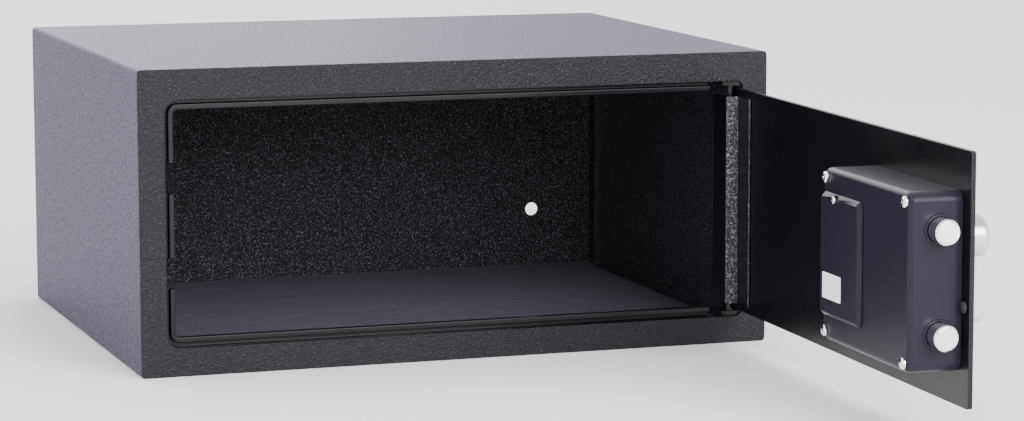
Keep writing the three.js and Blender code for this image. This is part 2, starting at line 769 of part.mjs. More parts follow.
function lockHousing() {
  const outer = housingBox(0, HOUSING_EDGE, SEAT - HOUSING_EDGE, HOUSING_DEPTH);
  const openEnd = housingBox(-THROUGH, 0, SEAT - 2 * HOUSING_EDGE, SEAT);
  const hollow = housingBox(HOUSING_WALL, 0, -HOUSING_EDGE, HOUSING_DEPTH - HOUSING_WALL);
  const inside = housingBox(HOUSING_WALL / 2, 0, SEAT, HOUSING_DEPTH - HOUSING_WALL / 2);
  const postTop = doorY(HOUSING_DEPTH - HOUSING_WALL / 2);
  const posts = atScrews((x, z) => rod(POST_RADIUS, 'y', [x, 0, z], doorY(SEAT), postTop, 16));
  const shell = join(cut(outer, openEnd, hollow), ...posts.map((post) => common(post, inside)));
  const studHoles = atScrews((x, z) => rod(
    STUD_DIAMETER / 2 + SEAT,
    'y',
    [x, 0, z],
    doorY(-THROUGH),
    doorY(STUD_HEIGHT + SEAT),
    12,
  ));
  const screwHoles = atScrews((x, z) => rod(
    SCREW_SHANK / 2 + SEAT,
    'y',
    [x, 0, z],
    doorY(STUD_HEIGHT - THROUGH),
    doorY(HOUSING_DEPTH + THROUGH),
    12,
  ));
  const collars = BOLT_HEIGHTS.map(boltCollar);
  const boltHoles = BOLT_HEIGHTS.map((z) => rod(
    BOLT_HOLE,
    'x',
    boltOrigin(z),
    HOUSING_FROM_EDGE - THROUGH,
    HOUSING_FROM_EDGE + HOUSING_WALL + THROUGH,
  ));
  const coverScrewHole = rod(
    COVER_SCREW_SHANK / 2 + SEAT,
    'y',
    [doorX(COVER_SCREW_U), 0, COVER_SCREW_Z],
    doorY(HOUSING_DEPTH - HOUSING_WALL - THROUGH),
    doorY(HOUSING_DEPTH + THROUGH),
    12,
  );
  const trayHole = extrude(
    trayOutline(SEAT, TRAY_CORNER),
    'y',
    doorY(HOUSING_DEPTH - HOUSING_WALL - THROUGH),
    doorY(HOUSING_DEPTH + THROUGH),
  );
  return cut(
    join(shell, ...collars),
    ...studHoles,
    ...screwHoles,
    ...boltHoles,
    coverScrewHole,
    trayHole,
  );
}

// Moulded collar round a bolt's hole in the end wall
function boltCollar(z) {
  const outer = BOLT_HOLE + BOLT_COLLAR_WALL;
  const face = HOUSING_FROM_EDGE - BOLT_COLLAR_RISE;
  const back = HOUSING_FROM_EDGE + HOUSING_WALL / 2;
  return turned([
    [0, face],
    [outer - BOLT_COLLAR_RISE / 2, face],
    [outer, face + BOLT_COLLAR_RISE / 2],
    [outer, back],
    [0, back],
  ], 'x', boltOrigin(z));
}

function panScrew(x, z, seatDepth, headDiameter, headHeight, shank, length) {
  const r = headDiameter / 2;
  return turned([
    [0, -length],
    [shank / 2, -length],
    [shank / 2, 0],
    [r, 0],
    [r, headHeight * 0.45],
    [r * 0.86, headHeight * 0.8],
    [r * 0.5, headHeight],
    [0, headHeight],
  ], 'y', [x, doorY(seatDepth), z], 14);
}

function housingScrew(x, z) {
  return panScrew(
    x,
    z,
    HOUSING_DEPTH + SEAT,
    SCREW_HEAD_DIAMETER,
    SCREW_HEAD_HEIGHT,
    SCREW_SHANK,
    SCREW_LENGTH,
  );
}

place(leafFrame, 'lock_housing', lockHousing(), 'plastic');
atScrews(housingScrew).forEach((screw, i) => {
  place(leafFrame, `housing_screw_${i + 1}`, screw, 'chrome');
});

// Bolts, and the steel guide behind the housing's end wall
function bolt(z) {
  const r = BOLT_DIAMETER / 2;
  const shoulder = BOLT_SHANK - BOLT_PROUD;
  const headBase = shoulder + SEAT + CARRIAGE_WALL + SEAT;
  return turned([
    [0, -BOLT_PROUD],
    [r - BOLT_CHAMFER, -BOLT_PROUD],
    [r, BOLT_CHAMFER - BOLT_PROUD],
    [r, shoulder],
    [TENON_DIAMETER / 2, shoulder],
    [TENON_DIAMETER / 2, headBase],
    [RIVET_HEAD_DIAMETER / 2, headBase],
    [TENON_DIAMETER / 2, headBase + RIVET_HEAD_HEIGHT],
    [0, headBase + RIVET_HEAD_HEIGHT],
  ], 'x', boltOrigin(z));
}

function boltGuide() {
  const u = HOUSING_FROM_EDGE + HOUSING_WALL + GUIDE_FROM_HOUSING;
  const reach = BOLT_SPACING / 2 + GUIDE_MARGIN;
  const [z0, z1] = [HOUSING_Z - reach, HOUSING_Z + reach];
  const outline = roundedRect(doorY(SEAT), doorY(GUIDE_DEPTH), z0, z1, STEEL_CORNER);
  for (const z of BOLT_HEIGHTS) {
    outline.holes.push(circle(doorY(BOLT_AXIS_DEPTH), z, BOLT_DIAMETER / 2 + RUN));
  }
  const wall = extrude(outline, 'x', doorX(u), doorX(u + GUIDE_WALL));
  const foot = block(
    doorX(u),
    doorX(u + GUIDE_FOOT),
    doorY(SEAT),
    doorY(SEAT + GUIDE_WALL),
    z0 + STEEL_CORNER,
    KNOB_Z - CRANK_HUB_RADIUS - GUIDE_TO_CRANK,
  );
  return join(wall, foot);
}

BOLT_HEIGHTS.forEach((z, i) => {
  const end = i === 0 ? 'lower' : 'upper';
  place(leafFrame, `bolt_${end}`, bolt(z), 'chrome');
});
place(leafFrame, 'bolt_guide', boltGuide(), 'zinc');

// Carriage: a plate with the crank slot and two guide slots, a rear flange that the bolts
// are riveted to, and a tail whose two notches take the solenoid's plunger
function slotOutline(u0, u1, z0, z1) {
  return roundedRect(doorX(u0), doorX(u1), z0, z1, Math.min(u1 - u0, z1 - z0) / 2);
}

function boltCarriage() {
  const floor = CARRIAGE_LIFT;
  const top = CARRIAGE_LIFT + CARRIAGE_WALL;
  const reach = BOLT_SPACING / 2 + CARRIAGE_MARGIN;
  const [z0, z1] = [HOUSING_Z - reach, HOUSING_Z + reach];
  const back = CARRIAGE_BACK + CARRIAGE_WALL;
  const outline = roundedRect(doorX(CARRIAGE_FRONT), doorX(back), z0, z1, STEEL_CORNER);
  const pinReach = CRANK_PIN_DIAMETER / 2 + CRANK_SLOT_PLAY;
  outline.holes.push(slotOutline(
    CRANK_PIN_U - pinReach,
    CRANK_PIN_U + pinReach,
    KNOB_Z + CRANK_PIN_RISE - pinReach,
    KNOB_Z + CRANK_RADIUS + pinReach,
  ));
  const studReach = STUD_GUIDE_DIAMETER / 2 + RUN;
  for (const z of GUIDE_STUD_HEIGHTS) {
    const end = GUIDE_STUD_U + BOLT_STROKE + studReach;
    outline.holes.push(slotOutline(GUIDE_STUD_U - studReach, end, z - studReach, z + studReach));
  }
  const plate = extrude(outline, 'y', doorY(floor), doorY(top));
  const flangeEnd = doorY(floor + CARRIAGE_FLANGE_DEPTH);
  const flangeOutline = roundedRect(doorY(floor), flangeEnd, z0, z1, STEEL_CORNER);
  for (const z of BOLT_HEIGHTS) {
    flangeOutline.holes.push(circle(doorY(BOLT_AXIS_DEPTH), z, TENON_DIAMETER / 2 + SEAT));
  }
  const flange = extrude(flangeOutline, 'x', doorX(CARRIAGE_BACK), doorX(back));
  const tailBottom = TAIL_Z - TAIL_WIDTH / 2;
  const tail = block(
    doorX(CARRIAGE_BACK),
    doorX(CARRIAGE_BACK + TAIL_LENGTH),
    doorY(floor),
    doorY(top),
    tailBottom,
    tailBottom + TAIL_WIDTH,
  );
  const notches = [PLUNGER_U, PLUNGER_U + BOLT_STROKE].map((u) => {
    const half = PLUNGER_DIAMETER / 2 + CRANK_SLOT_PLAY;
    return block(
      doorX(u - half),
      doorX(u + half),
      doorY(floor - THROUGH),
      doorY(top + THROUGH),
      tailBottom - THROUGH,
      tailBottom + NOTCH_DEPTH,
    );
  });
  return cut(join(plate, flange, tail), ...notches);
}

place(leafFrame, 'bolt_carriage', boltCarriage(), 'zinc');

// Knob with its lever, the spindle in its bush, and the crank that drives the carriage
const KNOB_X = doorX(KNOB_FROM_EDGE);
const CRANK_FLOOR = SEAT + CRANK_LIFT;
const CRANK_TOP = CRANK_FLOOR + CRANK_WALL;
const KNOB_BASE = -(DOOR_WALL + SEAT + KNOB_BUSH_FLANGE_THICKNESS + SEAT);
const KNOB_END = -(DOOR_WALL + KNOB_REACH);

function knobHub() {
  const r = KNOB_DIAMETER / 2;
  const profile = [
    [0, -KNOB_BASE],
    [r - KNOB_CHAMFER, -KNOB_BASE],
    [r, KNOB_CHAMFER - KNOB_BASE],
  ];
  const straight = -KNOB_END - KNOB_DOME;
  for (let i = 0; i <= KNOB_DOME_STEPS; i += 1) {
    const a = (i / KNOB_DOME_STEPS) * Math.PI / 2;
    profile.push([r - KNOB_DOME + KNOB_DOME * Math.cos(a), straight + KNOB_DOME * Math.sin(a)]);
  }
  profile.push([0, -KNOB_END]);
  const hub = turned(profile, 'y', [0, 0, 0], 32);
  hub.rotateX(Math.PI);
  hub.translate(KNOB_X, INNER_FACE_Y, KNOB_Z);
  return hub;
}

function knobLever() {
  const root = KNOB_LEVER_ROOT / 2;
  const tip = KNOB_LEVER_TIP / 2;
  const outline = new THREE.Shape();
  outline.moveTo(KNOB_X + root, KNOB_Z);
  outline.absarc(KNOB_X, KNOB_Z, root, 0, Math.PI);
  outline.lineTo(KNOB_X - tip, KNOB_Z - KNOB_LEVER_LENGTH + tip);
  outline.absarc(KNOB_X, KNOB_Z - KNOB_LEVER_LENGTH + tip, tip, Math.PI, 2 * Math.PI);
  outline.closePath();
  const outer = KNOB_END + KNOB_LEVER_SETBACK;
  return extrude(outline, 'y', doorY(outer), doorY(outer + KNOB_LEVER_THICKNESS), KNOB_LEVER_BEVEL);
}

function knob() {
  const bore = rod(
    SPINDLE_DIAMETER / 2 + SEAT,
    'y',
    [KNOB_X, INNER_FACE_Y, KNOB_Z],
    KNOB_BASE - SPINDLE_IN_KNOB,
    KNOB_BASE + THROUGH,
  );
  return cut(join(knobHub(), knobLever()), bore);
}

function knobBush() {
  const flange = KNOB_BUSH_OUTER + KNOB_BUSH_FLANGE;
  const face = -(DOOR_WALL + SEAT);
  return turned([
    [KNOB_BUSH_INNER, face - KNOB_BUSH_FLANGE_THICKNESS],
    [flange, face - KNOB_BUSH_FLANGE_THICKNESS],
    [flange, face],
    [KNOB_BUSH_OUTER, face],
    [KNOB_BUSH_OUTER, SEAT],
    [KNOB_BUSH_INNER, SEAT],
    [KNOB_BUSH_INNER, face - KNOB_BUSH_FLANGE_THICKNESS],
  ], 'y', [KNOB_X, INNER_FACE_Y, KNOB_Z]);
}

function spindle() {
  const origin = [KNOB_X, INNER_FACE_Y, KNOB_Z];
  const outerEnd = KNOB_BASE - SPINDLE_IN_KNOB + SEAT;
  const round = rod(SPINDLE_DIAMETER / 2, 'y', origin, outerEnd, CRANK_FLOOR - SEAT);
  const half = SPINDLE_SQUARE / 2;
  const square = block(
    KNOB_X - half,
    KNOB_X + half,
    doorY(-DOOR_WALL),
    doorY(CRANK_TOP + SEAT + CLIP_THICKNESS + SEAT),
    KNOB_Z - half,
    KNOB_Z + half,
  );
  return join(round, square);
}

function crank() {
  const pinX = doorX(CRANK_PIN_U);
  const pinZ = KNOB_Z + CRANK_PIN_RISE;
  const origin = [KNOB_X, INNER_FACE_Y, KNOB_Z];
  const pinOrigin = [pinX, INNER_FACE_Y, pinZ];
  const hub = rod(CRANK_HUB_RADIUS, 'y', origin, CRANK_FLOOR, CRANK_TOP);
  const eye = rod(CRANK_PIN_DIAMETER / 2 + CRANK_EYE_WALL, 'y', pinOrigin, CRANK_FLOOR, CRANK_TOP);
  const webHalf = CRANK_PIN_DIAMETER / 2 + CRANK_WEB_WALL;
  const along = new THREE.Vector2(pinX - KNOB_X, pinZ - KNOB_Z).normalize();
  const side = new THREE.Vector2(-along.y, along.x).multiplyScalar(webHalf);
  const web = extrude(polygon([
    [KNOB_X + side.x, KNOB_Z + side.y],
    [KNOB_X - side.x, KNOB_Z - side.y],
    [pinX - side.x, pinZ - side.y],
    [pinX + side.x, pinZ + side.y],
  ]), 'y', doorY(CRANK_FLOOR), doorY(CRANK_TOP));
  const pinTop = CARRIAGE_LIFT + CARRIAGE_WALL + CRANK_PIN_OVER;
  const pin = rod(CRANK_PIN_DIAMETER / 2, 'y', pinOrigin, CRANK_FLOOR, pinTop);
  const half = SPINDLE_SQUARE / 2 + SEAT;
  const hole = block(
    KNOB_X - half,
    KNOB_X + half,
    doorY(CRANK_FLOOR - THROUGH),
    doorY(CRANK_TOP + THROUGH),
    KNOB_Z - half,
    KNOB_Z + half,
  );
  return cut(join(hub, eye, web, pin), hole);
}

function spindleClip() {
  const inner = SPINDLE_SQUARE / 2 + SEAT;
  const outline = circle(KNOB_X, KNOB_Z, SPINDLE_SQUARE);
  outline.holes.push(roundedRect(
    KNOB_X - inner,
    KNOB_X + inner,
    KNOB_Z - inner,
    KNOB_Z + inner,
    CLIP_CORNER,
  ));
  return extrude(outline, 'y', doorY(CRANK_TOP + SEAT), doorY(CRANK_TOP + SEAT + CLIP_THICKNESS));
}

place(leafFrame, 'knob', knob(), 'chrome');
place(leafFrame, 'knob_bush', knobBush(), 'zinc');
place(leafFrame, 'spindle', spindle(), 'zinc');
place(leafFrame, 'crank', crank(), 'zinc');
place(leafFrame, 'spindle_clip', spindleClip(), 'zinc');

// Solenoid, its plunger and return spring; the plunger is shown drawn in
const PLUNGER_ORIGIN = [doorX(PLUNGER_U), doorY(PLUNGER_AXIS_DEPTH), 0];
const PLUNGER_TOP = TAIL_Z - TAIL_WIDTH / 2 - SEAT;
const COLLAR_BOTTOM = PLUNGER_TOP - PLUNGER_TRAVEL - SEAT - COLLAR_HEIGHT;
const COIL_TOP = COLLAR_BOTTOM - SPRING_LENGTH - 2 * SEAT;

function solenoid() {
  const [x, y] = PLUNGER_ORIGIN;
  const [hw, hd] = [COIL_WIDTH / 2, COIL_DEPTH / 2];
  const bottom = COIL_TOP - COIL_HEIGHT;
  const yokeTop = block(x - hw, x + hw, y - hd, y + hd, COIL_TOP - YOKE_WALL, COIL_TOP);
  const yokeBottom = block(x - hw, x + hw, y - hd, y + hd, bottom, bottom + YOKE_WALL);
  const yokeBack = block(x - hw, x - hw + YOKE_WALL, y - hd, y + hd, bottom, COIL_TOP);
  const winding = rod(
    hd - WINDING_INSET,
    'z',
    [x, y, 0],
    bottom + YOKE_WALL / 2,
    COIL_TOP - YOKE_WALL / 2,
  );
  const foot = block(
    x - hw - SOLENOID_FOOT,
    x + hw,
    doorY(SEAT),
    y - hd + YOKE_WALL,
    bottom + SOLENOID_FOOT_INSET,
    COIL_TOP - SOLENOID_FOOT_INSET,
  );
  const bore = rod(
    PLUNGER_DIAMETER / 2 + RUN,
    'z',
    [x, y, 0],
    COIL_TOP - COIL_HEIGHT * COIL_BORE_SHARE,
    COIL_TOP + THROUGH,
  );
  return cut(join(yokeTop, yokeBottom, yokeBack, winding, foot), bore);
}

function plunger() {
  const shaft = rod(
    PLUNGER_DIAMETER / 2,
    'z',
    PLUNGER_ORIGIN,
    COIL_TOP - COIL_HEIGHT * COIL_BORE_SHARE + SEAT,
    PLUNGER_TOP,
    16,
  );
  const collar = rod(
    PLUNGER_COLLAR_DIAMETER / 2,
    'z',
    PLUNGER_ORIGIN,
    COLLAR_BOTTOM,
    COLLAR_BOTTOM + COLLAR_HEIGHT,
    16,
  );
  return join(shaft, collar);
}

class Helix extends THREE.Curve {
  constructor(radius, turns, length) {
    super();
    Object.assign(this, { radius, turns, length });
  }

  getPoint(t, target = new THREE.Vector3()) {
    const a = t * this.turns * 2 * Math.PI;
    return target.set(this.radius * Math.cos(a), this.radius * Math.sin(a), t * this.length);
  }
}

function plungerSpring() {
  const radius = PLUNGER_DIAMETER / 2 + SEAT + SPRING_WIRE;
  const path = new Helix(radius, SPRING_TURNS, SPRING_LENGTH - SPRING_WIRE);
  const wire = new THREE.Shape();
  wire.absarc(0, 0, SPRING_WIRE / 2, 0, 2 * Math.PI);
  const geometry = new THREE.ExtrudeGeometry(wire, {
    steps: SPRING_TURNS * SPRING_STEPS,
    curveSegments: ARC_STEPS,
    extrudePath: path,
  });
  geometry.translate(PLUNGER_ORIGIN[0], PLUNGER_ORIGIN[1], COIL_TOP + SEAT + SPRING_WIRE / 2);
  return geometry;
}

place(leafFrame, 'solenoid', solenoid(), 'zinc');
place(leafFrame, 'solenoid_plunger', plunger(), 'zinc');
place(leafFrame, 'plunger_spring', plungerSpring(), 'zinc');

// Battery tray, its cells and contacts, and the cover that hinges on its lower edge
const TRAY_FRONT = HOUSING_DEPTH - SEAT;
const CELL_U = TRAY_FROM_EDGE + TRAY_WIDTH / 2 - CELL_LENGTH / 2;
const CELL_DEPTH = TRAY_FLOOR_DEPTH + TRAY_WALL + SEAT + CELL_DIAMETER / 2;

function cellZ(i) {
  return (TRAY_BOTTOM + TRAY_TOP) / 2 + (i - (CELL_COUNT - 1) / 2) * CELL_PITCH;
}

function batteryTray() {
  const outer = extrude(trayOutline(0, TRAY_CORNER), 'y', doorY(TRAY_FLOOR_DEPTH), doorY(TRAY_FRONT));
  const hollow = extrude(
    trayOutline(-TRAY_WALL, TRAY_CORNER - TRAY_WALL),
    'y',
    doorY(TRAY_FLOOR_DEPTH + TRAY_WALL),
    doorY(TRAY_FRONT + THROUGH),
  );
  return cut(outer, hollow);
}

function batteryCell(i) {
  const r = CELL_DIAMETER / 2;
  const cell = turned([
    [0, 0],
    [r - CELL_SHOULDER, 0],
    [r, CELL_SHOULDER],
    [r, CELL_LENGTH - CELL_SHOULDER],
    [r - CELL_SHOULDER, CELL_LENGTH],
    [CELL_NUB_RADIUS, CELL_LENGTH],
    [CELL_NUB_RADIUS, CELL_LENGTH + CELL_NUB],
    [0, CELL_LENGTH + CELL_NUB],
  ], 'x', [0, 0, 0], 18);
  if (i % 2) {
    cell.rotateZ(Math.PI);
    cell.translate(CELL_LENGTH, 0, 0);
  }
  cell.translate(doorX(CELL_U), doorY(CELL_DEPTH), cellZ(i));
  return cell;
}

// A strip at each end of the cells has a cone for each: wide at a flat end, narrow at a nub
function batteryContact(atHinge) {
  const near = TRAY_FROM_EDGE + TRAY_WALL + SEAT;
  const far = TRAY_FROM_EDGE + TRAY_WIDTH - TRAY_WALL - SEAT;
  const u = atHinge ? far - CONTACT_WALL : near;
  const half = CELL_DIAMETER / 2 - CONTACT_INSET;
  const strip = block(
    doorX(u),
    doorX(u + CONTACT_WALL),
    doorY(CELL_DEPTH - half),
    doorY(CELL_DEPTH + half),
    cellZ(0) - half,
    cellZ(CELL_COUNT - 1) + half,
  );
  const cones = [];
  for (let i = 0; i < CELL_COUNT; i += 1) {
    const nub = (i % 2 === 0) === atHinge;
    const reach = SEAT + (nub ? CELL_NUB : 0);
    const tip = atHinge ? CELL_U + CELL_LENGTH + reach : CELL_U - reach;
    const origin = [doorX(0), doorY(CELL_DEPTH), cellZ(i)];
    const base = nub ? CONTACT_NUB_BASE : CONTACT_FLAT_BASE;
    cones.push(cone(origin, tip, u + CONTACT_WALL / 2, CONTACT_TIP, base));
  }
  return join(strip, ...cones);
}

function cone(origin, tipU, baseU, tipRadius, baseRadius) {
  const ends = [[tipU, tipRadius], [baseU, baseRadius]].sort((a, b) => a[0] - b[0]);
  const [[u0, r0], [u1, r1]] = ends;
  return turned([[0, u0], [r0, u0], [r1, u1], [0, u1]], 'x', origin, 10);
}

const COVER_SEAT = HOUSING_DEPTH + SEAT;
const COVER_TOP = COVER_SEAT + COVER_RISE;

function coverOutline(inset) {
  return roundedRect(
    doorX(TRAY_FROM_EDGE - COVER_MARGIN + inset),
    doorX(TRAY_FROM_EDGE + TRAY_WIDTH + COVER_MARGIN - inset),
    TRAY_BOTTOM - COVER_MARGIN + inset,
    TRAY_TOP + COVER_HEAD - inset,
    COVER_CORNER - inset,
  );
}

// A chamfered tray-shaped moulding, with a boss for its screw and a slot for a fingernail
function batteryCover() {
  const blank = extrude(
    coverOutline(0),
    'y',
    doorY(COVER_SEAT - COVER_EDGE),
    doorY(COVER_TOP),
    COVER_EDGE,
    1,
  );
  const below = extrude(
    coverOutline(-THROUGH),
    'y',
    doorY(COVER_SEAT - COVER_EDGE - THROUGH),
    doorY(COVER_SEAT),
  );
  const hollow = extrude(
    coverOutline(COVER_WALL),
    'y',
    doorY(COVER_SEAT - COVER_EDGE - THROUGH),
    doorY(COVER_TOP - COVER_WALL),
    COVER_WALL,
    1,
  );
  const axis = [doorX(COVER_SCREW_U), 0, COVER_SCREW_Z];
  const bossRadius = COVER_SCREW_DIAMETER / 2 + COVER_BOSS_WALL;
  const boss = rod(bossRadius, 'y', axis, doorY(COVER_SEAT), doorY(COVER_TOP), 20);
  const hole = rod(
    COVER_SCREW_SHANK / 2 + SEAT,
    'y',
    axis,
    doorY(COVER_SEAT - THROUGH),
    doorY(COVER_TOP + THROUGH),
    12,
  );
  const slotTop = TRAY_TOP + COVER_HEAD - FINGER_SLOT_DROP + FINGER_SLOT_HEIGHT;
  const slotU = TRAY_FROM_EDGE + TRAY_WIDTH / 2;
  const slot = extrude(
    slotOutline(
      slotU - FINGER_SLOT_WIDTH / 2,
      slotU + FINGER_SLOT_WIDTH / 2,
      slotTop - FINGER_SLOT_HEIGHT,
      slotTop,
    ),
    'y',
    doorY(COVER_TOP - FINGER_SLOT_DEPTH),
    doorY(COVER_TOP + THROUGH),
  );
  return cut(join(cut(blank, below, hollow), boss), hole, slot);
}

function coverScrew() {
  return panScrew(
    doorX(COVER_SCREW_U),
    COVER_SCREW_Z,
    COVER_TOP + SEAT,
    COVER_SCREW_DIAMETER,
    COVER_SCREW_RISE,
    COVER_SCREW_SHANK,
    COVER_SCREW_LENGTH,
  );
}

place(leafFrame, 'battery_tray', batteryTray(), 'plastic');
for (let i = 0; i < CELL_COUNT; i += 1) {
  place(leafFrame, `battery_cell_${i + 1}`, batteryCell(i), 'cell');
}
place(leafFrame, 'battery_contact_left', batteryContact(false), 'zinc');
place(leafFrame, 'battery_contact_right', batteryContact(true), 'zinc');
place(leafFrame, 'battery_cover', batteryCover(), 'plastic');
place(leafFrame, 'cover_screw', coverScrew(), 'chrome');

// Control board with its four spacers, relay, chip and buzzer
function controlBoard() {
  const x = doorX(BOARD_FROM_EDGE);
  const z = HOUSING_BOTTOM + BOARD_LIFT;
  const floor = doorY(SEAT + BOARD_PILLAR);
  const face = floor + BOARD_WALL;
  const root = face - BOARD_WALL / 2;
  const outline = roundedRect(x, x + BOARD_WIDTH, z, z + BOARD_HEIGHT, BOARD_CORNER);
  const sheet = extrude(outline, 'y', floor, face);
  const blocks = BOARD_BLOCKS.map(([u0, u1, h0, h1, rise]) => (
    block(x + u0, x + u1, root, face + rise, z + h0, z + h1)
  ));
  const [buzzerU, buzzerHeight, buzzerRadius, buzzerRise] = BUZZER;
  const buzzer = rod(buzzerRadius, 'y', [x + buzzerU, 0, z + buzzerHeight], root, face + buzzerRise);
  const spacers = [];
  for (const u of [PILLAR_INSET, BOARD_WIDTH - PILLAR_INSET]) {
    for (const height of [PILLAR_INSET, BOARD_HEIGHT - PILLAR_INSET]) {
      spacers.push(rod(PILLAR_DIAMETER / 2, 'y', [x + u, 0, z + height], doorY(SEAT), root, 10));
    }
  }
  return join(sheet, ...blocks, buzzer, ...spacers);
}

place(leafFrame, 'control_board', controlBoard(), 'board');

// Keypad panel with pockets for the keys, the lens and the lock, and two rails for the slider
const KEY_FACE = -(PANEL_FACE + KEY_RISE);

function keyPlaces() {
  const places = [];
  KEY_NAMES.forEach((row, r) => row.forEach((name, c) => places.push({
    name,
    x: doorX(PANEL_FROM_EDGE + KEY_FIRST_U + c * KEY_PITCH_U),
    z: PANEL_BOTTOM + KEY_FIRST_Z - r * KEY_PITCH_Z,
  })));
  return places;
}

function keyOutline({ x, z }, margin) {
  const [w, h] = [KEY_WIDTH / 2 + margin, KEY_HEIGHT / 2 + margin];
  return roundedRect(x - w, x + w, z - h, z + h, KEY_RADIUS + margin);
}

function lensOutline(margin) {
  const x = doorX(PANEL_FROM_EDGE + KEY_FIRST_U + KEY_PITCH_U);
  const z = PANEL_BOTTOM + KEY_FIRST_Z + LENS_ABOVE_KEYS;
  const [w, h] = [LENS_WIDTH / 2 + margin, LENS_HEIGHT / 2 + margin];
  return roundedRect(x - w, x + w, z - h, z + h, LENS_CORNER + margin);
}

function rails() {
  const half = SLIDER_SIZE / 2 + RUN;
  const z1 = LOCK_Z + SLIDER_SIZE / 2 + RUN + RAIL_WIDTH;
  const z0 = LOCK_Z - SLIDER_SIZE / 2 - SLIDER_TRAVEL - RUN - RAIL_WIDTH;
  const [y0, y1] = [doorY(-PANEL_FACE - RAIL_RISE), doorY(RAIL_ROOT - PANEL_FACE)];
  const outline = roundedRect(
    doorX(LOCK_U) - half - RAIL_WIDTH,
    doorX(LOCK_U) + half + RAIL_WIDTH,
    z0,
    z1,
    RAIL_CORNER,
  );
  outline.holes.push(roundedRect(
    doorX(LOCK_U) - half,
    doorX(LOCK_U) + half,
    z0 + RAIL_WIDTH,
    z1 - RAIL_WIDTH,
    SLIDER_CORNER,
  ));
  return extrude(outline, 'y', y0, y1);
}

function keypadPanel() {
  const [x0, x1] = [doorX(PANEL_FROM_EDGE), doorX(PANEL_FROM_EDGE + PANEL_WIDTH)];
  const outline = roundedRect(x0, x1, PANEL_BOTTOM, PANEL_BOTTOM + PANEL_HEIGHT, PANEL_CORNER);
  const seat = -(DOOR_WALL + SEAT);
  const blank = extrude(outline, 'y', doorY(-PANEL_FACE), doorY(seat + PANEL_EDGE), PANEL_EDGE);
  const behind = block(
    x0 - THROUGH,
    x1 + THROUGH,
    doorY(seat),
    doorY(seat + 2 * PANEL_EDGE),
    PANEL_BOTTOM - THROUGH,
    PANEL_BOTTOM + PANEL_HEIGHT + THROUGH,
  );
  const pocketFloor = KEY_FACE + KEY_BODY + KEY_TRAVEL + SEAT;
  const pockets = keyPlaces().map((key) => extrude(
    keyOutline(key, RUN),
    'y',
    doorY(-PANEL_FACE - THROUGH),
    doorY(pocketFloor),
  ));
  const lensPocket = extrude(
    lensOutline(SEAT),
    'y',
    doorY(-PANEL_FACE - THROUGH),
    doorY(-PANEL_FACE + LENS_DEPTH + SEAT),
  );
  const lockHole = rod(
    LOCK_DIAMETER / 2 + SEAT,
    'y',
    [doorX(LOCK_U), 0, LOCK_Z],
    doorY(-PANEL_FACE - THROUGH),
    doorY(seat + THROUGH),
  );
  return cut(join(cut(blank, behind), rails()), ...pockets, lensPocket, lockHole);
}

function keyCap(key) {
  return extrude(keyOutline(key, 0), 'y', doorY(KEY_FACE), doorY(KEY_FACE + KEY_BODY), KEY_EDGE, 1);
}

function indicatorLens() {
  return extrude(lensOutline(0), 'y', doorY(-PANEL_FACE), doorY(-PANEL_FACE + LENS_DEPTH));
}

place(leafFrame, 'keypad_panel', keypadPanel(), 'plastic');
for (const key of keyPlaces()) place(leafFrame, key.name, keyCap(key), 'key');
place(leafFrame, 'indicator_lens', indicatorLens(), 'lens');

// Override lock: body, plug with its keyway, cam on the plug's end, and the slider over it
const LOCK_ORIGIN = [doorX(LOCK_U), INNER_FACE_Y, LOCK_Z];
const LOCK_FACE = -PANEL_FACE + SEAT;
const LOCK_END = LOCK_FACE + LOCK_LENGTH;

function lockBody() {
  return tube(LOCK_DIAMETER / 2, PLUG_DIAMETER / 2 + RUN, 'y', LOCK_ORIGIN, LOCK_FACE, LOCK_END);
}

function lockPlug() {
  const x = doorX(LOCK_U);
  const barrel = rod(PLUG_DIAMETER / 2, 'y', LOCK_ORIGIN, LOCK_FACE + SEAT, LOCK_END + SEAT);
  const keyway = block(
    x - KEYWAY_WIDTH / 2,
    x + KEYWAY_WIDTH / 2,
    doorY(LOCK_FACE - THROUGH),
    doorY(LOCK_FACE + KEYWAY_DEPTH),
    LOCK_Z - KEYWAY_HEIGHT / 2,
    LOCK_Z + KEYWAY_HEIGHT / 2,
  );
  return cut(barrel, keyway);
}

function lockCam() {
  const x = doorX(LOCK_U);
  const floor = LOCK_END + SEAT + SEAT;
  const outline = new THREE.Shape();
  outline.moveTo(x + CAM_RADIUS, LOCK_Z);
  outline.absarc(x, LOCK_Z, CAM_RADIUS, 0, Math.PI);
  outline.lineTo(x - CAM_TIP / 2, LOCK_Z - CAM_LENGTH);
  outline.lineTo(x + CAM_TIP / 2, LOCK_Z - CAM_LENGTH);
  outline.closePath();
  return extrude(outline, 'y', doorY(floor), doorY(floor + CAM_WALL));
}

function lockSlider() {
  const x = doorX(LOCK_U);
  const half = SLIDER_SIZE / 2;
  const face = -PANEL_FACE - SEAT;
  const plate = extrude(
    roundedRect(x - half, x + half, LOCK_Z - half, LOCK_Z + half, SLIDER_CORNER),
    'y',
    doorY(face - SLIDER_WALL),
    doorY(face),
  );
  const grooves = [-1, 0, 1].map((step) => {
    const z = LOCK_Z - half + GROOVE_LIFT + step * GROOVE_PITCH;
    return block(
      x - GROOVE_WIDTH / 2,
      x + GROOVE_WIDTH / 2,
      doorY(face - SLIDER_WALL - THROUGH),
      doorY(face - SLIDER_WALL + GROOVE_DEPTH),
      z - GROOVE_HEIGHT / 2,
      z + GROOVE_HEIGHT / 2,
    );
  });
  return cut(plate, ...grooves);
}

place(leafFrame, 'override_lock_body', lockBody(), 'brass');
place(leafFrame, 'override_plug', lockPlug(), 'brass');
place(leafFrame, 'override_cam', lockCam(), 'zinc');
place(leafFrame, 'override_slider', lockSlider(), 'plastic');

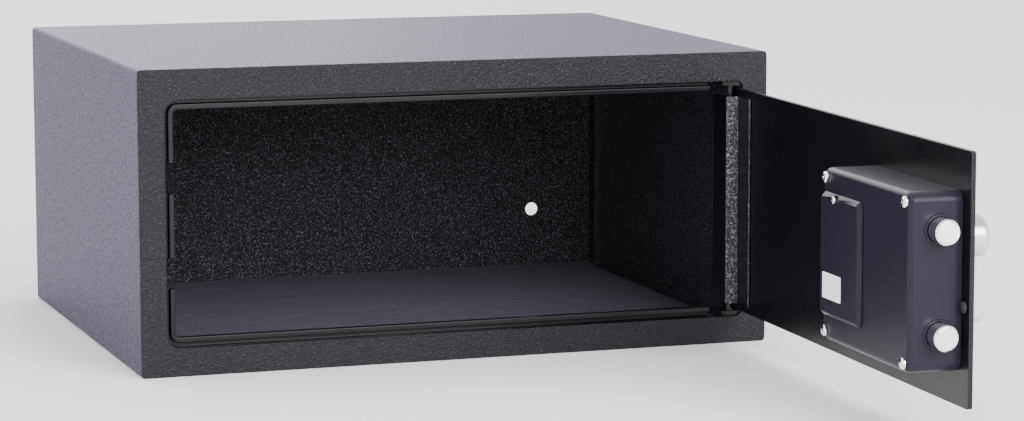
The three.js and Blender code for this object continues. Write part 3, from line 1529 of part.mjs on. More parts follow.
// Rubber buffer: a low dome on the door's inner face
function doorBuffer() {
  const r = BUFFER_DIAMETER / 2;
  const axis = [doorX(BUFFER_FROM_EDGE), doorY(SEAT), DOOR_BOTTOM + BUFFER_LIFT];
  return turned([
    [0, 0],
    [r, 0],
    [r, BUFFER_RISE * 0.4],
    [r * 0.85, BUFFER_RISE * 0.75],
    [r * 0.5, BUFFER_RISE],
    [0, BUFFER_RISE],
  ], 'y', axis, 16);
}

place(leafFrame, 'door_buffer', doorBuffer(), 'rubber');

export default safe;
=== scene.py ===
# %% [markdown]
# A laptop-size safe stands with its door open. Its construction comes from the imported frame,
# in metres, with the origin at the centre of the underside. This lesson gives each sheet,
# moulding and turned piece its edges and its finish, and adds the small things that the
# frame leaves out, such as the digits on the keys and the cross slots of the screws.

# %% Load the frame
import json
import math

import bmesh
import bpy
from mathutils import Matrix, Vector


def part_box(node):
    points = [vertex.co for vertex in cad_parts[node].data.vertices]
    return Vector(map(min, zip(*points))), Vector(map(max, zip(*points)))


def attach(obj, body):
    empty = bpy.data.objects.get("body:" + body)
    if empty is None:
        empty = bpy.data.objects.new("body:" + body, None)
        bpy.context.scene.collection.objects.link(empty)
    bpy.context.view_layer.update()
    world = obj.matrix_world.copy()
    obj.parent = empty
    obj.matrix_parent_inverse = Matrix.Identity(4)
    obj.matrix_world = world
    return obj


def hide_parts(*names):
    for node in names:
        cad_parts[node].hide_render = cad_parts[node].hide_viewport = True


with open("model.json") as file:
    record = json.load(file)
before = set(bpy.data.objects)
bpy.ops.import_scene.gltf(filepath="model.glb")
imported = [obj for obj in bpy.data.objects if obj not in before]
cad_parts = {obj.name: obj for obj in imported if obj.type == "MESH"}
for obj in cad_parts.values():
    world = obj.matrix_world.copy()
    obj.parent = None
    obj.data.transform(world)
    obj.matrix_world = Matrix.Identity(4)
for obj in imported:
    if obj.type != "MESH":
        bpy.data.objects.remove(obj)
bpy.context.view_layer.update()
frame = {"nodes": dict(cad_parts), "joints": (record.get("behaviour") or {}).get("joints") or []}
MM = 0.001
print("nodes in the frame:", len(frame["nodes"]))

# %% [markdown]
# The camera stands where the photographer stood: left of the middle, a little above the safe
# and far back, with a long lens. Its place and angles were fitted to the corners of the body,
# the door and the bolts. The lens shift moves the picture without turning the camera.

# %% Camera
PHOTO_WIDTH, PHOTO_HEIGHT = 1024, 421
FOCAL_PX = 3479.5
CENTRE_PX = (646.75, 218.34)
YAW, PITCH, ROLL = 0.36267, 0.13777, 0.00351
CAMERA_PLACE = Vector((-0.69705, -2.35539, 0.41224))


def photo_camera():
    ahead = Vector((
        math.sin(YAW) * math.cos(PITCH),
        math.cos(YAW) * math.cos(PITCH),
        -math.sin(PITCH),
    ))
    level = Vector((math.cos(YAW), -math.sin(YAW), 0))
    upright = level.cross(ahead)
    right = level * math.cos(ROLL) + upright * math.sin(ROLL)
    up = upright * math.cos(ROLL) - level * math.sin(ROLL)
    data = bpy.data.cameras.new("photo_camera")
    data.lens = data.sensor_width * FOCAL_PX / PHOTO_WIDTH
    data.shift_x = (PHOTO_WIDTH / 2 - CENTRE_PX[0]) / PHOTO_WIDTH
    data.shift_y = (CENTRE_PX[1] - PHOTO_HEIGHT / 2) / PHOTO_WIDTH
    camera = bpy.data.objects.new("photo_camera", data)
    turn = Matrix((right, up, -ahead)).transposed().to_4x4()
    camera.matrix_world = Matrix.Translation(CAMERA_PLACE) @ turn
    bpy.context.scene.collection.objects.link(camera)
    return camera


bpy.context.scene.camera = photo_camera()
print("lens in mm:", round(bpy.context.scene.camera.data.lens, 1))

# %% [markdown]
# Door pieces are easier to make with the door closed, when they are square to the axes. The
# hinge's range says how far the rest pose is from closed, so one matrix takes a piece from the
# closed door to where it rests. closed_box measures a node of the frame in that closed place.

# %% Closed door and open door
hinge = {joint["name"]: joint for joint in frame["joints"]}["door_hinge"]
pin_line = Vector((hinge["pos_m"][0], hinge["pos_m"][1], 0))
rest_turn = Matrix.Rotation(math.radians(-hinge["range_deg"][0]), 4, "Z")
OPEN_DOOR = Matrix.Translation(pin_line) @ rest_turn @ Matrix.Translation(-pin_line)
CLOSE_DOOR = OPEN_DOOR.inverted()


def closed_box(node):
    places = [CLOSE_DOOR @ vertex.co for vertex in frame["nodes"][node].data.vertices]
    low = Vector([min(place[i] for place in places) for i in range(3)])
    high = Vector([max(place[i] for place in places) for i in range(3)])
    return low, high


leaf_low, leaf_high = closed_box("door_plate")
print("closed door plate in mm:", [round(v / MM, 1) for v in (*leaf_low, *leaf_high)])

# %% [markdown]
# Every finish is a node material on Object coordinates, so a pattern stays with its piece. Four
# small helpers make the shader, a texture, a bump from any value and a ramp from one value to a
# colour or a roughness. Colours are linear, and bump depths are in metres.

# %% Material helpers
def base_material(name, color, roughness, metallic=0.0):
    material = bpy.data.materials.new(name)
    material.use_nodes = True
    shader = material.node_tree.nodes["Principled BSDF"]
    shader.inputs["Base Color"].default_value = (*color, 1)
    shader.inputs["Roughness"].default_value = roughness
    shader.inputs["Metallic"].default_value = metallic
    return material, material.node_tree, shader


def texture(tree, kind, scale, **values):
    coordinates = tree.nodes.new("ShaderNodeTexCoord")
    node = tree.nodes.new(kind)
    tree.links.new(coordinates.outputs["Object"], node.inputs["Vector"])
    node.inputs["Scale"].default_value = scale
    for key, value in values.items():
        node.inputs[key].default_value = value
    return node


def bump(tree, shader, height, strength, distance, under=None):
    node = tree.nodes.new("ShaderNodeBump")
    node.inputs["Strength"].default_value = strength
    node.inputs["Distance"].default_value = distance
    tree.links.new(height, node.inputs["Height"])
    if under:
        tree.links.new(under.outputs["Normal"], node.inputs["Normal"])
    tree.links.new(node.outputs["Normal"], shader.inputs["Normal"])
    return node


def ramp(tree, value, stops, target):
    node = tree.nodes.new("ShaderNodeValToRGB")
    elements = node.color_ramp.elements
    while len(elements) < len(stops):
        elements.new(0.5)
    for element, (place, color) in zip(elements, stops):
        element.position = place
        element.color = (*color, 1) if len(color) == 3 else (color[0],) * 3 + (1,)
    tree.links.new(value, node.inputs["Fac"])
    tree.links.new(node.outputs["Color"], target)
    return node


print("helpers for the shader, a texture, a bump and a ramp")

# %% [markdown]
# The outside is a fine hammered coat, dark with metal flake in it, so it looks pale where it is
# seen at a low angle and nearly black from straight ahead. A noise with spots about 2 mm across
# mottles its colour and gloss, and a finer one gives the orange peel. Half metallic with a
# violet edge tint stands for the flake.

# %% Hammered coat of the body
def hammered_coat():
    material, tree, shader = base_material("hammered_coat", (0.03, 0.028, 0.038), 0.5, 0.5)
    shader.inputs["Specular IOR Level"].default_value = 0.32
    shader.inputs["Specular Tint"].default_value = (0.80, 0.75, 1.0, 1)
    pits = texture(tree, "ShaderNodeTexNoise", 560, Detail=2.0, Roughness=0.6)
    stops = [(0.30, (0.012, 0.011, 0.016)), (0.68, (0.042, 0.038, 0.054))]
    ramp(tree, pits.outputs["Fac"], stops, shader.inputs["Base Color"])
    ramp(tree, pits.outputs["Fac"], [(0.3, (0.56,)), (0.7, (0.36,))], shader.inputs["Roughness"])
    peel = texture(tree, "ShaderNodeTexNoise", 1500, Detail=1.0)
    first = bump(tree, shader, pits.outputs["Fac"], 0.7, 0.0007)
    bump(tree, shader, peel.outputs["Fac"], 0.25, 0.0002, first)
    return material


SHELL = hammered_coat()
print("made", SHELL.name)

# %% [markdown]
# The front frame and the inside have a black coat with a leathery grain: cells about 2 mm
# across with narrow valleys between them. A Voronoi texture gives the cells, and a noise breaks
# them up. Its low values are ground and its middle ones crest, at the places given; its highest
# ones are a painted glint, small bright points put into the colour where a crest would catch light.

# %% Grained coat of the frame and the inside
def grained_coat(name, ground, crest, painted_glint, size, depth, places):
    material, tree, shader = base_material(name, ground, 0.5)
    shader.inputs["Specular IOR Level"].default_value = 0.24
    cells = texture(tree, "ShaderNodeTexVoronoi", size, Randomness=1.0)
    grains = texture(tree, "ShaderNodeTexNoise", size * 1.6, Detail=3.0, Roughness=0.65)
    # The last stop is a painted glint: colour that stands for light caught on the crests.
    stops = list(zip(places, (ground, crest, painted_glint)))
    ramp(tree, grains.outputs["Fac"], stops, shader.inputs["Base Color"])
    ramp(tree, grains.outputs["Fac"], [(0.35, (0.58,)), (0.7, (0.26,))], shader.inputs["Roughness"])
    first = bump(tree, shader, cells.outputs["Distance"], 0.5, depth)
    bump(tree, shader, grains.outputs["Fac"], 0.8, depth, first)
    return material


# The third colour of each coat is its painted glint, a painted highlight on the crests.
FRAME = grained_coat(
    "frame_coat", (0.003, 0.0026, 0.0052), (0.009, 0.0081, 0.0132), (0.055, 0.052, 0.068),
    560, 0.0007, (0.40, 0.60, 0.75),
)
LINER = grained_coat(
    "liner_coat", (0.003, 0.0025, 0.0042), (0.030, 0.028, 0.038), (0.26, 0.25, 0.31),
    500, 0.0009, (0.42, 0.56, 0.70),
)
# A lighter copy of the grain with strong painted glints: painted light for the channel's lit leg.
LEG_PAINTED_LIGHT = grained_coat(
    "leg_coat_painted_light", (0.012, 0.011, 0.015), (0.05, 0.048, 0.06), (0.42, 0.41, 0.47),
    520, 0.0008, (0.36, 0.56, 0.70),
)
print("made", FRAME.name, LINER.name, LEG_PAINTED_LIGHT.name)

# %% [markdown]
# The door's inside is smooth satin black. It hardly shows a colour of its own, so its gloss
# does the work: it mirrors the dark opening beside it, and some pale floor near its lower edge.

# %% Satin black of the door
def satin_black(name, color, shine=0.5):
    material, tree, shader = base_material(name, color, 0.25)
    shader.inputs["Specular IOR Level"].default_value = shine
    cloud = texture(tree, "ShaderNodeTexNoise", 9, Detail=3.0)
    ramp(tree, cloud.outputs["Fac"], [(0.3, (0.22,)), (0.7, (0.32,))], shader.inputs["Roughness"])
    peel = texture(tree, "ShaderNodeTexNoise", 700, Detail=2.0)
    bump(tree, shader, peel.outputs["Fac"], 0.1, 0.0002)
    return material


LEAF = satin_black("satin_black", (0.003, 0.0026, 0.0045), 0.4)
RIM = satin_black("rim_coat", (0.005, 0.0045, 0.007), 0.24)
print("made", LEAF.name, RIM.name)

# %% [markdown]
# Plastics are mouldings with a faint grain. A wide cloud makes the gloss a little uneven, as
# the mould leaves it, and a very fine noise stands for the spark-eroded texture. Paint, ink,
# paper and rubber are made the same way. shine sets how strongly a surface mirrors.

# %% Moulded plastic
GLOSSIER, DULLER = 0.015, 0.025


def moulded(name, color, roughness, grain=0.12, shine=0.5):
    material, tree, shader = base_material(name, color, roughness)
    shader.inputs["Specular IOR Level"].default_value = shine
    spark = texture(tree, "ShaderNodeTexNoise", 2600, Detail=1.0)
    cloud = texture(tree, "ShaderNodeTexNoise", 30, Detail=3.0)
    stops = [(0.3, (roughness - GLOSSIER,)), (0.7, (roughness + DULLER,))]
    ramp(tree, cloud.outputs["Fac"], stops, shader.inputs["Roughness"])
    bump(tree, shader, spark.outputs["Fac"], grain, 0.0001)
    return material


PLASTIC = moulded("housing_plastic", (0.0140, 0.0126, 0.0212), 0.30, shine=0.14)
KEY = moulded("key_plastic", (0.42, 0.42, 0.44), 0.42)
BOARD = moulded("board_mask", (0.012, 0.10, 0.045), 0.35)
LENS = moulded("smoked_lens", (0.035, 0.002, 0.002), 0.12, 0.0, 0.3)
CELL = moulded("cell_wrap", (0.03, 0.09, 0.13), 0.25, 0.03)
STICKER = moulded("sticker_paper", (0.86, 0.86, 0.85), 0.6, 0.05)
INK = moulded("key_ink", (0.008, 0.008, 0.01), 0.5, 0.0, 0.1)
RUBBER = moulded("buffer_rubber", (0.016, 0.016, 0.018), 0.62, 0.3, 0.3)
print("made the plastics")

# %% [markdown]
# Bright metal differs by its roughness: chrome is nearly a mirror with faint polish marks, zinc
# plate is duller and blotchy, and brass is yellow.

# %% Metals
def metal(name, color, roughness, spread, mark_scale):
    material, tree, shader = base_material(name, color, roughness, 1.0)
    marks = texture(tree, "ShaderNodeTexNoise", mark_scale, Detail=4.0, Roughness=0.6)
    low, high = max(roughness - spread, 0.02), roughness + spread
    ramp(tree, marks.outputs["Fac"], [(0.3, (low,)), (0.7, (high,))], shader.inputs["Roughness"])
    bump(tree, shader, marks.outputs["Fac"], 0.05, 0.0001)
    return material


CHROME = metal("chrome", (0.90, 0.90, 0.91), 0.12, 0.04, 300)
KNOB = metal("satin_chrome", (0.66, 0.66, 0.67), 0.24, 0.05, 240)
ZINC = metal("zinc_plate", (0.62, 0.62, 0.64), 0.34, 0.1, 180)
BRASS = metal("brass", (0.72, 0.53, 0.24), 0.25, 0.08, 260)
print("made the metals")

# %% [markdown]
# The mat is a short, dense pile. Fine noise lifts the fibres, a wider one lays them in soft
# patches a little longer along the width, and sheen gives the pale bloom that a pile has at a
# low angle.

# %% Carpet
PATCH_SCALE = (40, 60, 60)


def carpet():
    material, tree, shader = base_material("mat_pile", (0.03, 0.03, 0.042), 0.9)
    shader.inputs["Specular IOR Level"].default_value = 0.2
    shader.inputs["Sheen Weight"].default_value = 0.12
    shader.inputs["Sheen Tint"].default_value = (0.86, 0.8, 1.0, 1)
    fibres = texture(tree, "ShaderNodeTexNoise", 620, Detail=4.0, Roughness=0.7)
    stops = [(0.36, (0.0045, 0.0038, 0.0088)), (0.64, (0.034, 0.030, 0.057))]
    ramp(tree, fibres.outputs["Fac"], stops, shader.inputs["Base Color"])
    patches = texture(tree, "ShaderNodeTexNoise", 1.0, Detail=4.0, Roughness=0.6)
    lay = tree.nodes.new("ShaderNodeMapping")
    lay.inputs["Scale"].default_value = PATCH_SCALE
    tree.links.new(patches.inputs["Vector"].links[0].from_socket, lay.inputs["Vector"])
    tree.links.new(lay.outputs["Vector"], patches.inputs["Vector"])
    first = bump(tree, shader, patches.outputs["Fac"], 0.45, 0.005)
    bump(tree, shader, fibres.outputs["Fac"], 0.8, 0.001, first)
    return material


CARPET = carpet()
print("made", CARPET.name)

# %% [markdown]
# finish_piece turns a bmesh into a piece of the scene. It shades smoothly except where two
# faces meet at a real angle, hangs the piece on the empty of the body it rides on, hides the
# nodes of the frame it stands for, and gives it its material, and a second one, when given,
# on the faces that a test picks out.


def finish_piece(name, work, body, material, stands_for=(), smooth=40, second=None):
    mesh = bpy.data.meshes.new(name)
    if second:
        for face in work.faces:
            face.material_index = int(second[1](face))
    work.to_mesh(mesh)
    work.free()
    for polygon in mesh.polygons:
        polygon.use_smooth = True
    mesh.set_sharp_from_angle(angle=math.radians(smooth))
    mesh.materials.append(material)
    if second:
        mesh.materials.append(second[0])
    piece = bpy.data.objects.new(name, mesh)
    bpy.context.scene.collection.objects.link(piece)
    weighted = piece.modifiers.new("even_shading", "WEIGHTED_NORMAL")
    weighted.keep_sharp = True
    if stands_for:
        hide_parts(*stands_for)
    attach(piece, body)
    return piece


# %% [markdown]
# A pressed or moulded piece has no knife edges. A merged copy of each node gets its sharp edges
# eased by a small bevel, and stands for the node. Flat faces are first joined up, so that the
# bevel meets clean corners.

# %% Ease the edges of a node
MERGE = 0.005 * MM
FLAT = math.radians(1)


def merged_copy(node):
    work = bmesh.new()
    work.from_mesh(frame["nodes"][node].data)
    bmesh.ops.remove_doubles(work, verts=work.verts, dist=MERGE)
    bmesh.ops.dissolve_limit(work, angle_limit=FLAT, verts=work.verts, edges=work.edges)
    return work


def bevel_edges(work, width, segments, sharp=50):
    limit = math.radians(sharp)
    edges = [e for e in work.edges if len(e.link_faces) == 2 and e.calc_face_angle() > limit]
    bmesh.ops.bevel(
        work, geom=edges, offset=width * MM, offset_type="OFFSET", segments=segments,
        profile=0.5, affect="EDGES", clamp_overlap=True, material=-1,
    )


def eased(node, body, material, width, segments=2, sharp=50, second=None):
    work = merged_copy(node)
    bevel_edges(work, width, segments, sharp)
    return finish_piece(node + "_dressed", work, body, material, [node], second=second)


print("points are merged within", MERGE / MM, "mm")

# %% [markdown]
# The body is a folded wrap with a front frame welded into it and a pan at the back. The wrap's
# folds keep their radius from the frame of the model, and only the cut edges are eased. Wrap and
# pan are hammered outside and black inside, and the frame is grained in front and smooth in its
# channel, so each takes a second finish on the faces that a small test picks out.

# %% Body
wrap_low, wrap_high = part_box("body_wrap")
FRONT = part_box("front_frame")[0][1]
HALF_SHEET = 0.75 * MM
BEHIND_FRONT = 1.2 * MM


def inside_wrap(face):
    place = face.calc_center_median()
    within = abs(place.x) < wrap_high[0] - HALF_SHEET
    return within and wrap_low[2] + HALF_SHEET < place.z < wrap_high[2] - HALF_SHEET


def behind_front(face):
    return face.calc_center_median().y > FRONT + BEHIND_FRONT


def looks_in(face):
    return face.normal.y < 0.5


eased("body_wrap", "body", SHELL, 0.3, second=(LINER, inside_wrap))
eased("front_frame", "body", FRAME, 0.6, 3, second=(RIM, behind_front))
eased("back_panel", "body", SHELL, 0.3, second=(LINER, looks_in))
eased("floor_mat", "body", CARPET, 0.8, 3)
for node in ("hinge_bracket_top", "hinge_bracket_bottom"):
    eased(node, "body", RIM, 0.3)
print("front face at", round(FRONT / MM, 1))

# %% [markdown]
# The leaf is a plain plate with a folded channel that holds the hinge pins. It is satin black
# inside and coated like the front frame outside and on its edges. Only the channel's leg, which
# looks towards the free edge, has a grained coat: a lighter copy with strong painted glints,
# painted light for the light that the leg catches. The lock housing is one moulding with soft
# edges, and two collars stand round its bolt holes.

# %% Door, channel and housing
TO_FREE_EDGE = OPEN_DOOR.to_3x3() @ Vector((-1, 0, 0))
TO_INSIDE = OPEN_DOOR.to_3x3() @ Vector((0, 1, 0))


def not_the_leg(face):
    return face.normal.dot(TO_FREE_EDGE) < 0.6


def outside_door(face):
    return face.normal.dot(TO_INSIDE) < 0.5


# The leg's grained coat is lighter, with painted glints: painted light where the leg catches it.
eased("hinge_channel", "door", LEG_PAINTED_LIGHT, 0.4, second=(LEAF, not_the_leg))
eased("door_plate", "door", LEAF, 0.5, 3, second=(FRAME, outside_door))
eased("lock_housing", "door", PLASTIC, 0.35)
eased("battery_cover", "battery_cover", PLASTIC, 0.3)
eased("door_buffer", "door", RUBBER, 0.2)
print("dressed the door")

# %% [markdown]
# Turned pieces start as half a profile in the plane of the axis, which a full spin turns into
# a closed body. The profile's points are (radius, depth) in millimetres, and the axis runs
# into the safe with the door closed.

# %% Turn a profile
def turned(profile, centre, steps=48):
    work = bmesh.new()
    points = [work.verts.new((r * MM, d * MM, 0)) for r, d in profile]
    edges = [work.edges.new(pair) for pair in zip(points, points[1:])]
    bmesh.ops.spin(
        work, geom=points + edges, cent=(0, 0, 0), axis=(0, 1, 0),
        angle=2 * math.pi, steps=steps, use_merge=True,
    )
    bmesh.ops.remove_doubles(work, verts=work.verts, dist=MERGE)
    bmesh.ops.recalc_face_normals(work, faces=work.faces)
    bmesh.ops.translate(work, verts=work.verts, vec=centre)
    return work


disc = turned([(0, 0), (1, 0), (1, 1), (0, 1)], Vector())
print("a small disc, turned as a trial, has", len(disc.faces), "faces")
disc.free()

# %% [markdown]
# A cut is easiest with a Boolean modifier on a throwaway object, whose result is read back as a
# mesh before the throwaways are removed. The exact solver keeps the cut clean.

# %% Cut one mesh out of another
def loose_object(work):
    mesh = bpy.data.meshes.new("loose")
    work.to_mesh(mesh)
    work.free()
    loose = bpy.data.objects.new("loose", mesh)
    bpy.context.scene.collection.objects.link(loose)
    return loose


def carved(work, *cutters):
    blank = loose_object(work)
    tools = [loose_object(cutter) for cutter in cutters]
    for tool in tools:
        knife = blank.modifiers.new("knife", "BOOLEAN")
        knife.operation = "DIFFERENCE"
        knife.solver = "EXACT"
        knife.object = tool
    graph = bpy.context.evaluated_depsgraph_get()
    result = bpy.data.meshes.new_from_object(blank.evaluated_get(graph))
    work = bmesh.new()
    work.from_mesh(result)
    for loose in [blank, *tools]:
        bpy.data.objects.remove(loose)
    return work


print("helpers for a cut")

# %% [markdown]
# The four screws of the housing and the one of the battery cover are chrome pan heads with a
# cross slot. Each head is a turned dome with its shank, and two bars that narrow towards the
# bottom are cut out of it, turned by a different angle on every screw, as a hand leaves them.
# The rim of the head and the depth of the bars are shares of its rise, and the length and width
# of the bars are shares of its radius.

# %% Screws
RIM_SHARE = 0.35
SLOT_LENGTH, SLOT_DEPTH, SLOT_WIDTH = 1.2, 1.5, 0.24
SLOT_TAPER = (0.35, 1, 0.8)
CROWN_ANGLES = [math.radians(15 * step) for step in range(7)]


def slot_cutter(head, rise, turn_degrees, place):
    work = bmesh.new()
    bmesh.ops.create_cube(work, size=1)
    size = (head * SLOT_LENGTH * MM, rise * SLOT_DEPTH * MM, head * SLOT_WIDTH * MM)
    bmesh.ops.scale(work, vec=size, verts=work.verts)
    bmesh.ops.scale(work, vec=SLOT_TAPER, verts=[v for v in work.verts if v.co.y < 0])
    turn = Matrix.Rotation(math.radians(turn_degrees), 4, "Y")
    bmesh.ops.transform(work, matrix=turn, verts=work.verts)
    bmesh.ops.translate(work, verts=work.verts, vec=place)
    return work


def pan_screw(node, body, head, shank, rise, slot_turn):
    low, high = closed_box(node)
    centre = Vector(((low.x + high.x) / 2, 0, (low.z + high.z) / 2))
    top, end = high.y / MM, low.y / MM
    seat = top - rise
    lift = seat + rise * RIM_SHARE
    crown = [(head * math.cos(a), lift + (top - lift) * math.sin(a)) for a in CROWN_ANGLES]
    crown[-1] = (0, top)
    profile = [(0, end), (shank, end), (shank, seat), (head, seat), *crown]
    work = turned(profile, centre, 40)
    place = centre + Vector((0, top * MM, 0))
    slots = [slot_cutter(head, rise, slot_turn + quarter, place) for quarter in (0, 90)]
    work = carved(work, *slots)
    bmesh.ops.transform(work, matrix=OPEN_DOOR, verts=work.verts)
    finish_piece(node + "_dressed", work, body, CHROME, [node], smooth=35)


for number, slot_turn in enumerate((12, 38, 61, 80), 1):
    pan_screw(f"housing_screw_{number}", "door", 3.5, 1.6, 2.2, slot_turn)
pan_screw("cover_screw", "battery_cover", 2.2, 1.4, 1.3, 25)
print("made the screws")

# %% [markdown]
# The bolts are chrome rods with a chamfered end. Only the cut edges need easing, because the
# frame already gives them 24 sides, which smooth shading rounds off.

# %% Bolts
for node in ("bolt_lower", "bolt_upper"):
    eased(node, "bolts", CHROME, 0.35, 3, 35)
print("dressed the bolts")

# %% [markdown]
# The knob is a satin chrome casting: a round hub with a domed end and a lever that hangs from
# it. The hub is turned from its profile, whose face has a shallow ring. The lever is a tapered
# bar with round ends, which is the hull of two circles, each drawn at both faces, and its edges
# are bevelled.

# %% Knob
knob_low, knob_high = closed_box("knob")
HUB_RADIUS, HUB_ROUND, HUB_CHAMFER = 13.2, 5, 0.6
DOME_ANGLES = [math.radians(9 * step) for step in range(11)]
RING = [(6.6, 0), (6.2, 0.35), (5.6, 0.35), (5.2, 0), (0, 0)]
LEVER_ROOT, LEVER_TIP, LEVER_LENGTH = 6.5 * MM, 5.0 * MM, 52 * MM
LEVER_SETBACK, LEVER_DEPTH, LEVER_EDGE = 1.2 * MM, 10 * MM, 1.6
HUB_CENTRE = Vector(((knob_low.x + knob_high.x) / 2, 0, knob_high.z - HUB_RADIUS * MM))


def knob_hub():
    base, end = knob_high.y / MM, knob_low.y / MM
    middle = HUB_RADIUS - HUB_ROUND
    back = [(0, base), (HUB_RADIUS - HUB_CHAMFER, base), (HUB_RADIUS, base - HUB_CHAMFER)]
    dome = [(middle + HUB_ROUND * math.cos(a), end + HUB_ROUND - HUB_ROUND * math.sin(a))
            for a in DOME_ANGLES]
    face = [(radius, end + depth) for radius, depth in RING]
    return turned([*back, *dome, *face], HUB_CENTRE, 72)


def knob_lever():
    outer = knob_low.y + LEVER_SETBACK
    lever = bmesh.new()
    for radius, drop in ((LEVER_ROOT, 0), (LEVER_TIP, LEVER_LENGTH - LEVER_TIP)):
        for depth in (outer, outer + LEVER_DEPTH):
            ring = bmesh.ops.create_circle(lever, segments=48, radius=radius)["verts"]
            bmesh.ops.rotate(lever, verts=ring, matrix=Matrix.Rotation(math.pi / 2, 3, "X"))
            bmesh.ops.translate(lever, verts=ring, vec=HUB_CENTRE + Vector((0, depth, -drop)))
    hull = bmesh.ops.convex_hull(lever, input=lever.verts)
    spare = {v for v in hull["geom_interior"] if isinstance(v, bmesh.types.BMVert)}
    bmesh.ops.delete(lever, geom=list(spare), context="VERTS")
    bmesh.ops.dissolve_limit(lever, angle_limit=FLAT, verts=lever.verts, edges=lever.edges)
    bevel_edges(lever, LEVER_EDGE, 4)
    return lever


def knob():
    lever = knob_lever()
    hub = knob_hub()
    spare = bpy.data.meshes.new("hub")
    hub.to_mesh(spare)
    hub.free()
    lever.from_mesh(spare)
    bpy.data.meshes.remove(spare)
    bmesh.ops.transform(lever, matrix=OPEN_DOOR, verts=lever.verts)
    return finish_piece("knob_cast", lever, "knob", KNOB, ["knob"])


knob()
print("hub centre in mm:", [round(v / MM, 1) for v in HUB_CENTRE])

# %% [markdown]
# The keypad is guessed, because the photograph shows only the back of the door. Its panel and
# keys get soft edges, and each key a printed digit. A text object is the easy way to a digit:
# it becomes a mesh first, then it is laid on its key, a few hundredths of a millimetre proud.
# The star is drawn high on its line, so it is centred by its own middle.

# %% Keypad
DIGIT_HEIGHT, DIGIT_PROUD = 7.2 * MM, 0.02 * MM
KEYS = [(str(n), str(n)) for n in range(10)] + [("star", "*"), ("hash", "#")]


def printed(mark, key):
    low, high = closed_box(key)
    curve = bpy.data.curves.new("mark", "FONT")
    curve.body = mark
    curve.size = DIGIT_HEIGHT
    curve.extrude = DIGIT_PROUD
    curve.align_x = "CENTER"
    curve.align_y = "CENTER"
    text = bpy.data.objects.new("mark", curve)
    bpy.context.scene.collection.objects.link(text)
    bpy.context.view_layer.update()
    mesh = bpy.data.meshes.new_from_object(text)
    bpy.data.objects.remove(text)
    work = bmesh.new()
    work.from_mesh(mesh)
    if mark == "*":
        rise = sum(vertex.co.y for vertex in work.verts) / len(work.verts)
        bmesh.ops.translate(work, verts=work.verts, vec=(0, -rise, 0))
    bmesh.ops.rotate(work, verts=work.verts, matrix=Matrix.Rotation(math.pi / 2, 3, "X"))
    face = Vector(((low.x + high.x) / 2, low.y - DIGIT_PROUD / 2, (low.z + high.z) / 2))
    bmesh.ops.translate(work, verts=work.verts, vec=face)
    bmesh.ops.transform(work, matrix=OPEN_DOOR, verts=work.verts)
    finish_piece(key + "_mark", work, key, INK)


eased("keypad_panel", "door", PLASTIC, 0.25)
eased("override_slider", "override_slider", PLASTIC, 0.2)
eased("indicator_lens", "door", LENS, 0.2)
for name, mark in KEYS:
    eased(f"key_{name}", f"key_{name}", KEY, 0.2, 2, 35)
    printed(mark, f"key_{name}")
print("made twelve keys")

# %% [markdown]
# A small white sticker sits low on the battery cover. It is bare here: a thin sheet with round
# corners that stands just proud of the cover. Its place is in millimetres from the door's free
# edge and from its bottom.

# %% Sticker
COVER_FACE = closed_box("battery_cover")[1].y
STICKER_THICKNESS, STICKER_CORNER = 0.12 * MM, 1.0 * MM


def sticker(from_u, to_u, from_v, to_v):
    work = bmesh.new()
    bmesh.ops.create_cube(work, size=1)
    size = Vector(((to_u - from_u) * MM, STICKER_THICKNESS, (to_v - from_v) * MM))
    bmesh.ops.scale(work, vec=size, verts=work.verts)
    corners = [e for e in work.edges if e.verts[0].co.y * e.verts[1].co.y < 0]
    bmesh.ops.bevel(
        work, geom=corners, offset=STICKER_CORNER, offset_type="OFFSET", segments=5,
        profile=0.5, affect="EDGES", clamp_overlap=True, material=-1,
    )
    place = Vector((
        leaf_low.x + (from_u + to_u) / 2 * MM,
        COVER_FACE + STICKER_THICKNESS / 2,
        leaf_low.z + (from_v + to_v) / 2 * MM,
    ))
    bmesh.ops.translate(work, verts=work.verts, vec=place)
    bmesh.ops.transform(work, matrix=OPEN_DOOR, verts=work.verts)
    finish_piece("cover_sticker", work, "battery_cover", STICKER)


sticker(104.5, 133.5, 48.5, 64.5)
print("cover face at", round(COVER_FACE / MM, 1))

# %% [markdown]
# The rest of the frame's pieces are right as they are, and most are hidden in the housing. They
# keep their shape and only get their finish.

# %% Materials of the rest
PLAIN = {
    ZINC: ["bolt_guide", "bolt_carriage", "knob_bush", "spindle", "crank", "spindle_clip",
           "solenoid", "solenoid_plunger", "plunger_spring", "battery_contact_left",
           "battery_contact_right", "override_cam"],
    LEAF: ["hinge_pin_top", "hinge_pin_bottom"],
    PLASTIC: ["battery_tray", "hinge_bush_top", "hinge_bush_bottom"],
    CELL: ["battery_cell_1", "battery_cell_2", "battery_cell_3", "battery_cell_4"],
    BOARD: ["control_board"],
    BRASS: ["override_lock_body", "override_plug"],
}
for material, names in PLAIN.items():
    for name in names:
        materials = frame["nodes"][name].data.materials
        materials.clear()
        materials.append(material)
print("finished", sum(len(names) for names in PLAIN.values()), "plain nodes")

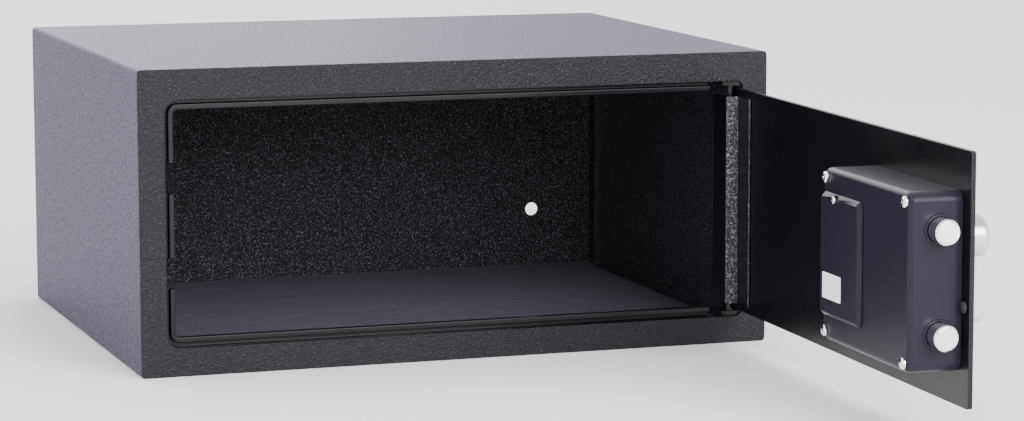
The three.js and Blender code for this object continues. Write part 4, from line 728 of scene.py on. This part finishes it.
# %% [markdown]
# The safe stands on a pale floor under soft light: a sky that fades upwards from the horizon,
# as in a white cove, a wide softbox above, a strong one in front that lights the bolts and the
# inside, and one far behind whose glow shows in the top at a low angle. The dictionary gives
# each softbox its place, the point it faces, its size and its power in watts.

# %% Floor and lights
FLOOR_SIZE = 8
SKY = 2.9
SKY_STOPS = [(0.0, (1.0,)), (1.0, (0.4,))]
SOFTBOXES = {
    "top_softbox": ((0.0, 0.2, 1.8), (0, 0, 0.1), 1.6, 10),
    "front_softbox": ((0.5, -2.4, 1.2), (0.1, -0.2, 0.1), 1.4, 80),
    "back_softbox": ((0.3, 5.0, 1.6), (0, 0, 0.2), 2.4, 50),
}


def floor():
    work = bmesh.new()
    bmesh.ops.create_grid(work, x_segments=1, y_segments=1, size=FLOOR_SIZE)
    mesh = bpy.data.meshes.new("studio_floor")
    work.to_mesh(mesh)
    work.free()
    mesh.materials.append(base_material("studio_floor", (0.92, 0.92, 0.92), 0.8)[0])
    piece = bpy.data.objects.new("studio_floor", mesh)
    bpy.context.scene.collection.objects.link(piece)


def softbox(name, place, target, size, power):
    data = bpy.data.lights.new(name, "AREA")
    data.size = size
    data.energy = power
    light = bpy.data.objects.new(name, data)
    light.location = place
    light.rotation_mode = "QUATERNION"
    light.rotation_quaternion = (Vector(target) - Vector(place)).to_track_quat("-Z", "Y")
    bpy.context.scene.collection.objects.link(light)


def studio_sky():
    world = bpy.data.worlds.new("studio")
    world.use_nodes = True
    tree = world.node_tree
    direction = tree.nodes.new("ShaderNodeTexCoord")
    parts = tree.nodes.new("ShaderNodeSeparateXYZ")
    tree.links.new(direction.outputs["Generated"], parts.inputs["Vector"])
    sky = tree.nodes["Background"]
    ramp(tree, parts.outputs["Z"], SKY_STOPS, sky.inputs["Color"])
    sky.inputs["Strength"].default_value = SKY
    bpy.context.scene.world = world


floor()
for name, values in SOFTBOXES.items():
    softbox(name, *values)
studio_sky()
print("made the floor, the sky and", len(SOFTBOXES), "softboxes")
